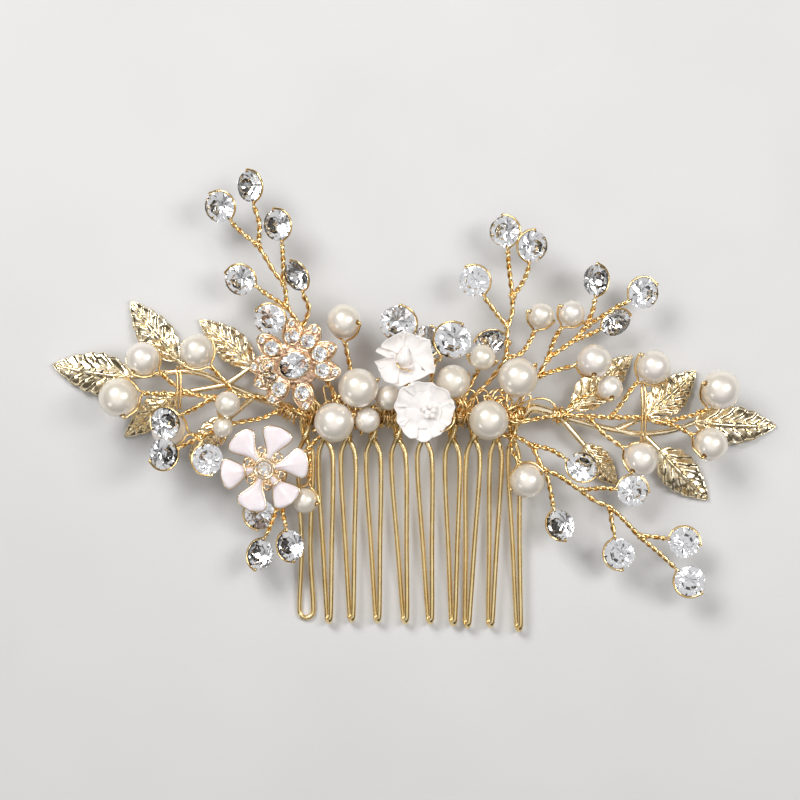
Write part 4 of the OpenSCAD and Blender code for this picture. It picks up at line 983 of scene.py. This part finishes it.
def make_rose():
    shape, wire = Shape(), Shape()
    place = Matrix.Translation(ROSE_AT)
    shape.plate(lambda a: 3.4, lambda x, y, t: 0.2, lambda t: -0.3 - 1.9 * (1 - t), 8, 36, place)
    corners = [(96, 4.85), (37, 5.5), (-25, 5.85), (-100, 4.95), (-132, 5.4), (-175, 5.4), (176, 3.3),
               (167, 5.35), (138, 4.75)]

    def rim(degrees):
        return rim_between(corners, degrees)

    for n, (angle, spread) in enumerate([(-78, 50), (8, 42), (66, 38), (122, 34), (176, 26), (-142, 34)]):
        lift = place @ move(0, 0, 0.28 + 0.13 * (n % 2))
        clay_petal(shape, lift, angle, spread, rim, 1.0, 0.8, n * 2.3)
    collar = [(60, 1.9), (150, 2.0), (-120, 2.15), (-40, 2.1)]
    for n, (angle, spread) in enumerate([(-88, 68), (40, 50), (150, 52)]):
        clay_petal(shape, place @ move(-0.2, -0.1, 0.55), angle, spread,
                   lambda degrees: rim_between(collar, degrees), 0.6, 0.3, n + 7.7, 0.9)
    bud = place @ move(-0.25, 0.0, 0.5) @ spin("Z", -12)

    def teardrop(a):
        return 1.35 * (1 + 0.65 * max(0.0, sin(a)) ** 9)

    def bud_top(x, y, t):
        fold = 0.16 * exp(-((x - 0.3 + 0.2 * sin(y * 1.3)) / 0.1) ** 2)
        return 1.5 * sqrt(max(0.0, 1 - t * t)) + 0.1 - fold

    shape.plate(teardrop, bud_top, lambda t: -0.2, 20, 56, bud)
    shape.piece("rose_petals", "comb", "clay", [CLAY], "clay_rose")
    points = [(-1.55, -0.75, 1), (-1, -1.5, 1.45), (-0.2, -1.85, 1.5), (0.5, -1.95, 1.45), (1.1, -2.2, 0.9)]
    wire.tube(smooth_route(points, 0.2), 0.14, 7, place)
    wire.piece("rose_wire", "comb", "wire_gold", [WIRE])


def make_blossom():
    shape, wire = Shape(), Shape()
    place = Matrix.Translation(BLOSSOM_AT)
    shape.plate(lambda a: 3.4, lambda x, y, t: 0.2, lambda t: -0.3 - 1.7 * (1 - t), 8, 36, place)

    def rim(degrees):
        wave = 0.22 * sin(radians(3 * degrees + 40)) + 0.12 * sin(radians(11 * degrees))
        return 5.15 + wave

    petals = [(95, 38), (38, 34), (-12, 30), (-55, 24), (-92, 22), (-130, 26), (-172, 30), (142, 32)]
    for n, (angle, spread) in enumerate(petals):
        lift = place @ move(0.15, 0, 0.12 + 0.14 * (n % 2))
        clay_petal(shape, lift, angle, spread, rim, 0.8, 0.55, n * 3.1 + 1)
    stamens = [(0.55, -0.5, 0.6), (1.5, -0.1, 0.62), (0.95, 0.6, 0.6), (0.0, 0.15, 0.5),
               (1.3, -0.95, 0.55), (0.3, -1.1, 0.5), (1.75, 0.6, 0.46)]
    for n, (x, y, r) in enumerate(stamens):
        shape.ball((x + 0.3, y, 0.6 + 0.08 * (n % 3)), r, place, (1, 0.9, 1.0), 18)
    shape.piece("blossom_petals", "comb", "clay", [CLAY], "clay_blossom")
    points = [(4.1, 2.4, -0.4), (5.05, 0.6, -0.1), (5.5, -1.0, 0.2), (5.2, -2.3, 0.6), (4.2, -3.3, 0.95),
              (3.2, -3.7, 1.0), (2.9, -3.4, 0.4)]
    wire.tube(smooth_route(points, 0.2), 0.17, 7, place)
    wire.piece("blossom_wire", "comb", "wire_gold", [WIRE])


# ---- Stage: table, soft boxes and the camera straight above ----
def make_floor():
    half = 1.5  # metres
    corners = [(-half, -half, 0), (half, -half, 0), (half, half, 0), (-half, half, 0)]
    mesh = bpy.data.meshes.new("table_top")
    mesh.from_pydata(corners, [], [(0, 1, 2, 3)])
    mesh.materials.append(FLOOR)
    add_to_scene("table_top", mesh)


def soft_box(name, azimuth, tilt, distance, width, height, power):
    light = bpy.data.lights.new(name, "AREA")
    light.shape = "RECTANGLE"
    light.size, light.size_y = width, height
    light.energy = power
    o = add_to_scene(name, light)
    a, b = radians(azimuth), radians(tilt)
    away = Vector((sin(b) * cos(a), sin(b) * sin(a), cos(b)))
    o.location = away * distance
    o.rotation_euler = away.to_track_quat("Z", "Y").to_euler()


def make_stage():
    make_floor()
    soft_box("box_back_left", 128, 42, 0.50, 0.25, 0.19, 1.5)
    soft_box("box_right", 18, 38, 0.50, 0.14, 0.23, 0.95)
    soft_box("box_low_left", 215, 62, 0.55, 0.14, 0.14, 0.14)
    world = bpy.data.worlds.new("studio")
    world.use_nodes = True
    nodes, links = world.node_tree.nodes, world.node_tree.links
    back = nodes["Background"]
    ramp = nodes.new("ShaderNodeValToRGB")
    low, high = ramp.color_ramp.elements
    low.position, high.position = 0.62, 0.90
    low.color = (0.08, 0.075, 0.07, 1)
    high.color = (0.80, 0.80, 0.81, 1)
    coords = nodes.new("ShaderNodeTexCoord")
    split = nodes.new("ShaderNodeSeparateXYZ")
    links.new(coords.outputs["Generated"], split.inputs[0])
    links.new(split.outputs["Z"], ramp.inputs["Fac"])
    links.new(ramp.outputs["Color"], back.inputs["Color"])
    back.inputs["Strength"].default_value = 1.0
    bpy.context.scene.world = world
    bpy.context.scene.view_settings.view_transform = "Standard"


def make_camera():
    view_width, height = 0.1404, 0.55
    camera = bpy.data.cameras.new("camera")
    camera.sensor_width = 36
    camera.lens = camera.sensor_width * height / view_width
    camera.clip_start = 0.01
    o = add_to_scene("camera", camera)
    o.location = (-0.0026, 0.0002, height + 0.006)
    bpy.context.scene.camera = o


make_stage()
make_camera()
make_rail()
make_teeth()
make_binding()
make_sprays()
make_leaves()
make_pearls()
make_crystals()
make_strass_flower()
make_enamel_flower()
make_rose()
make_blossom()

bpy.context.view_layer.update()
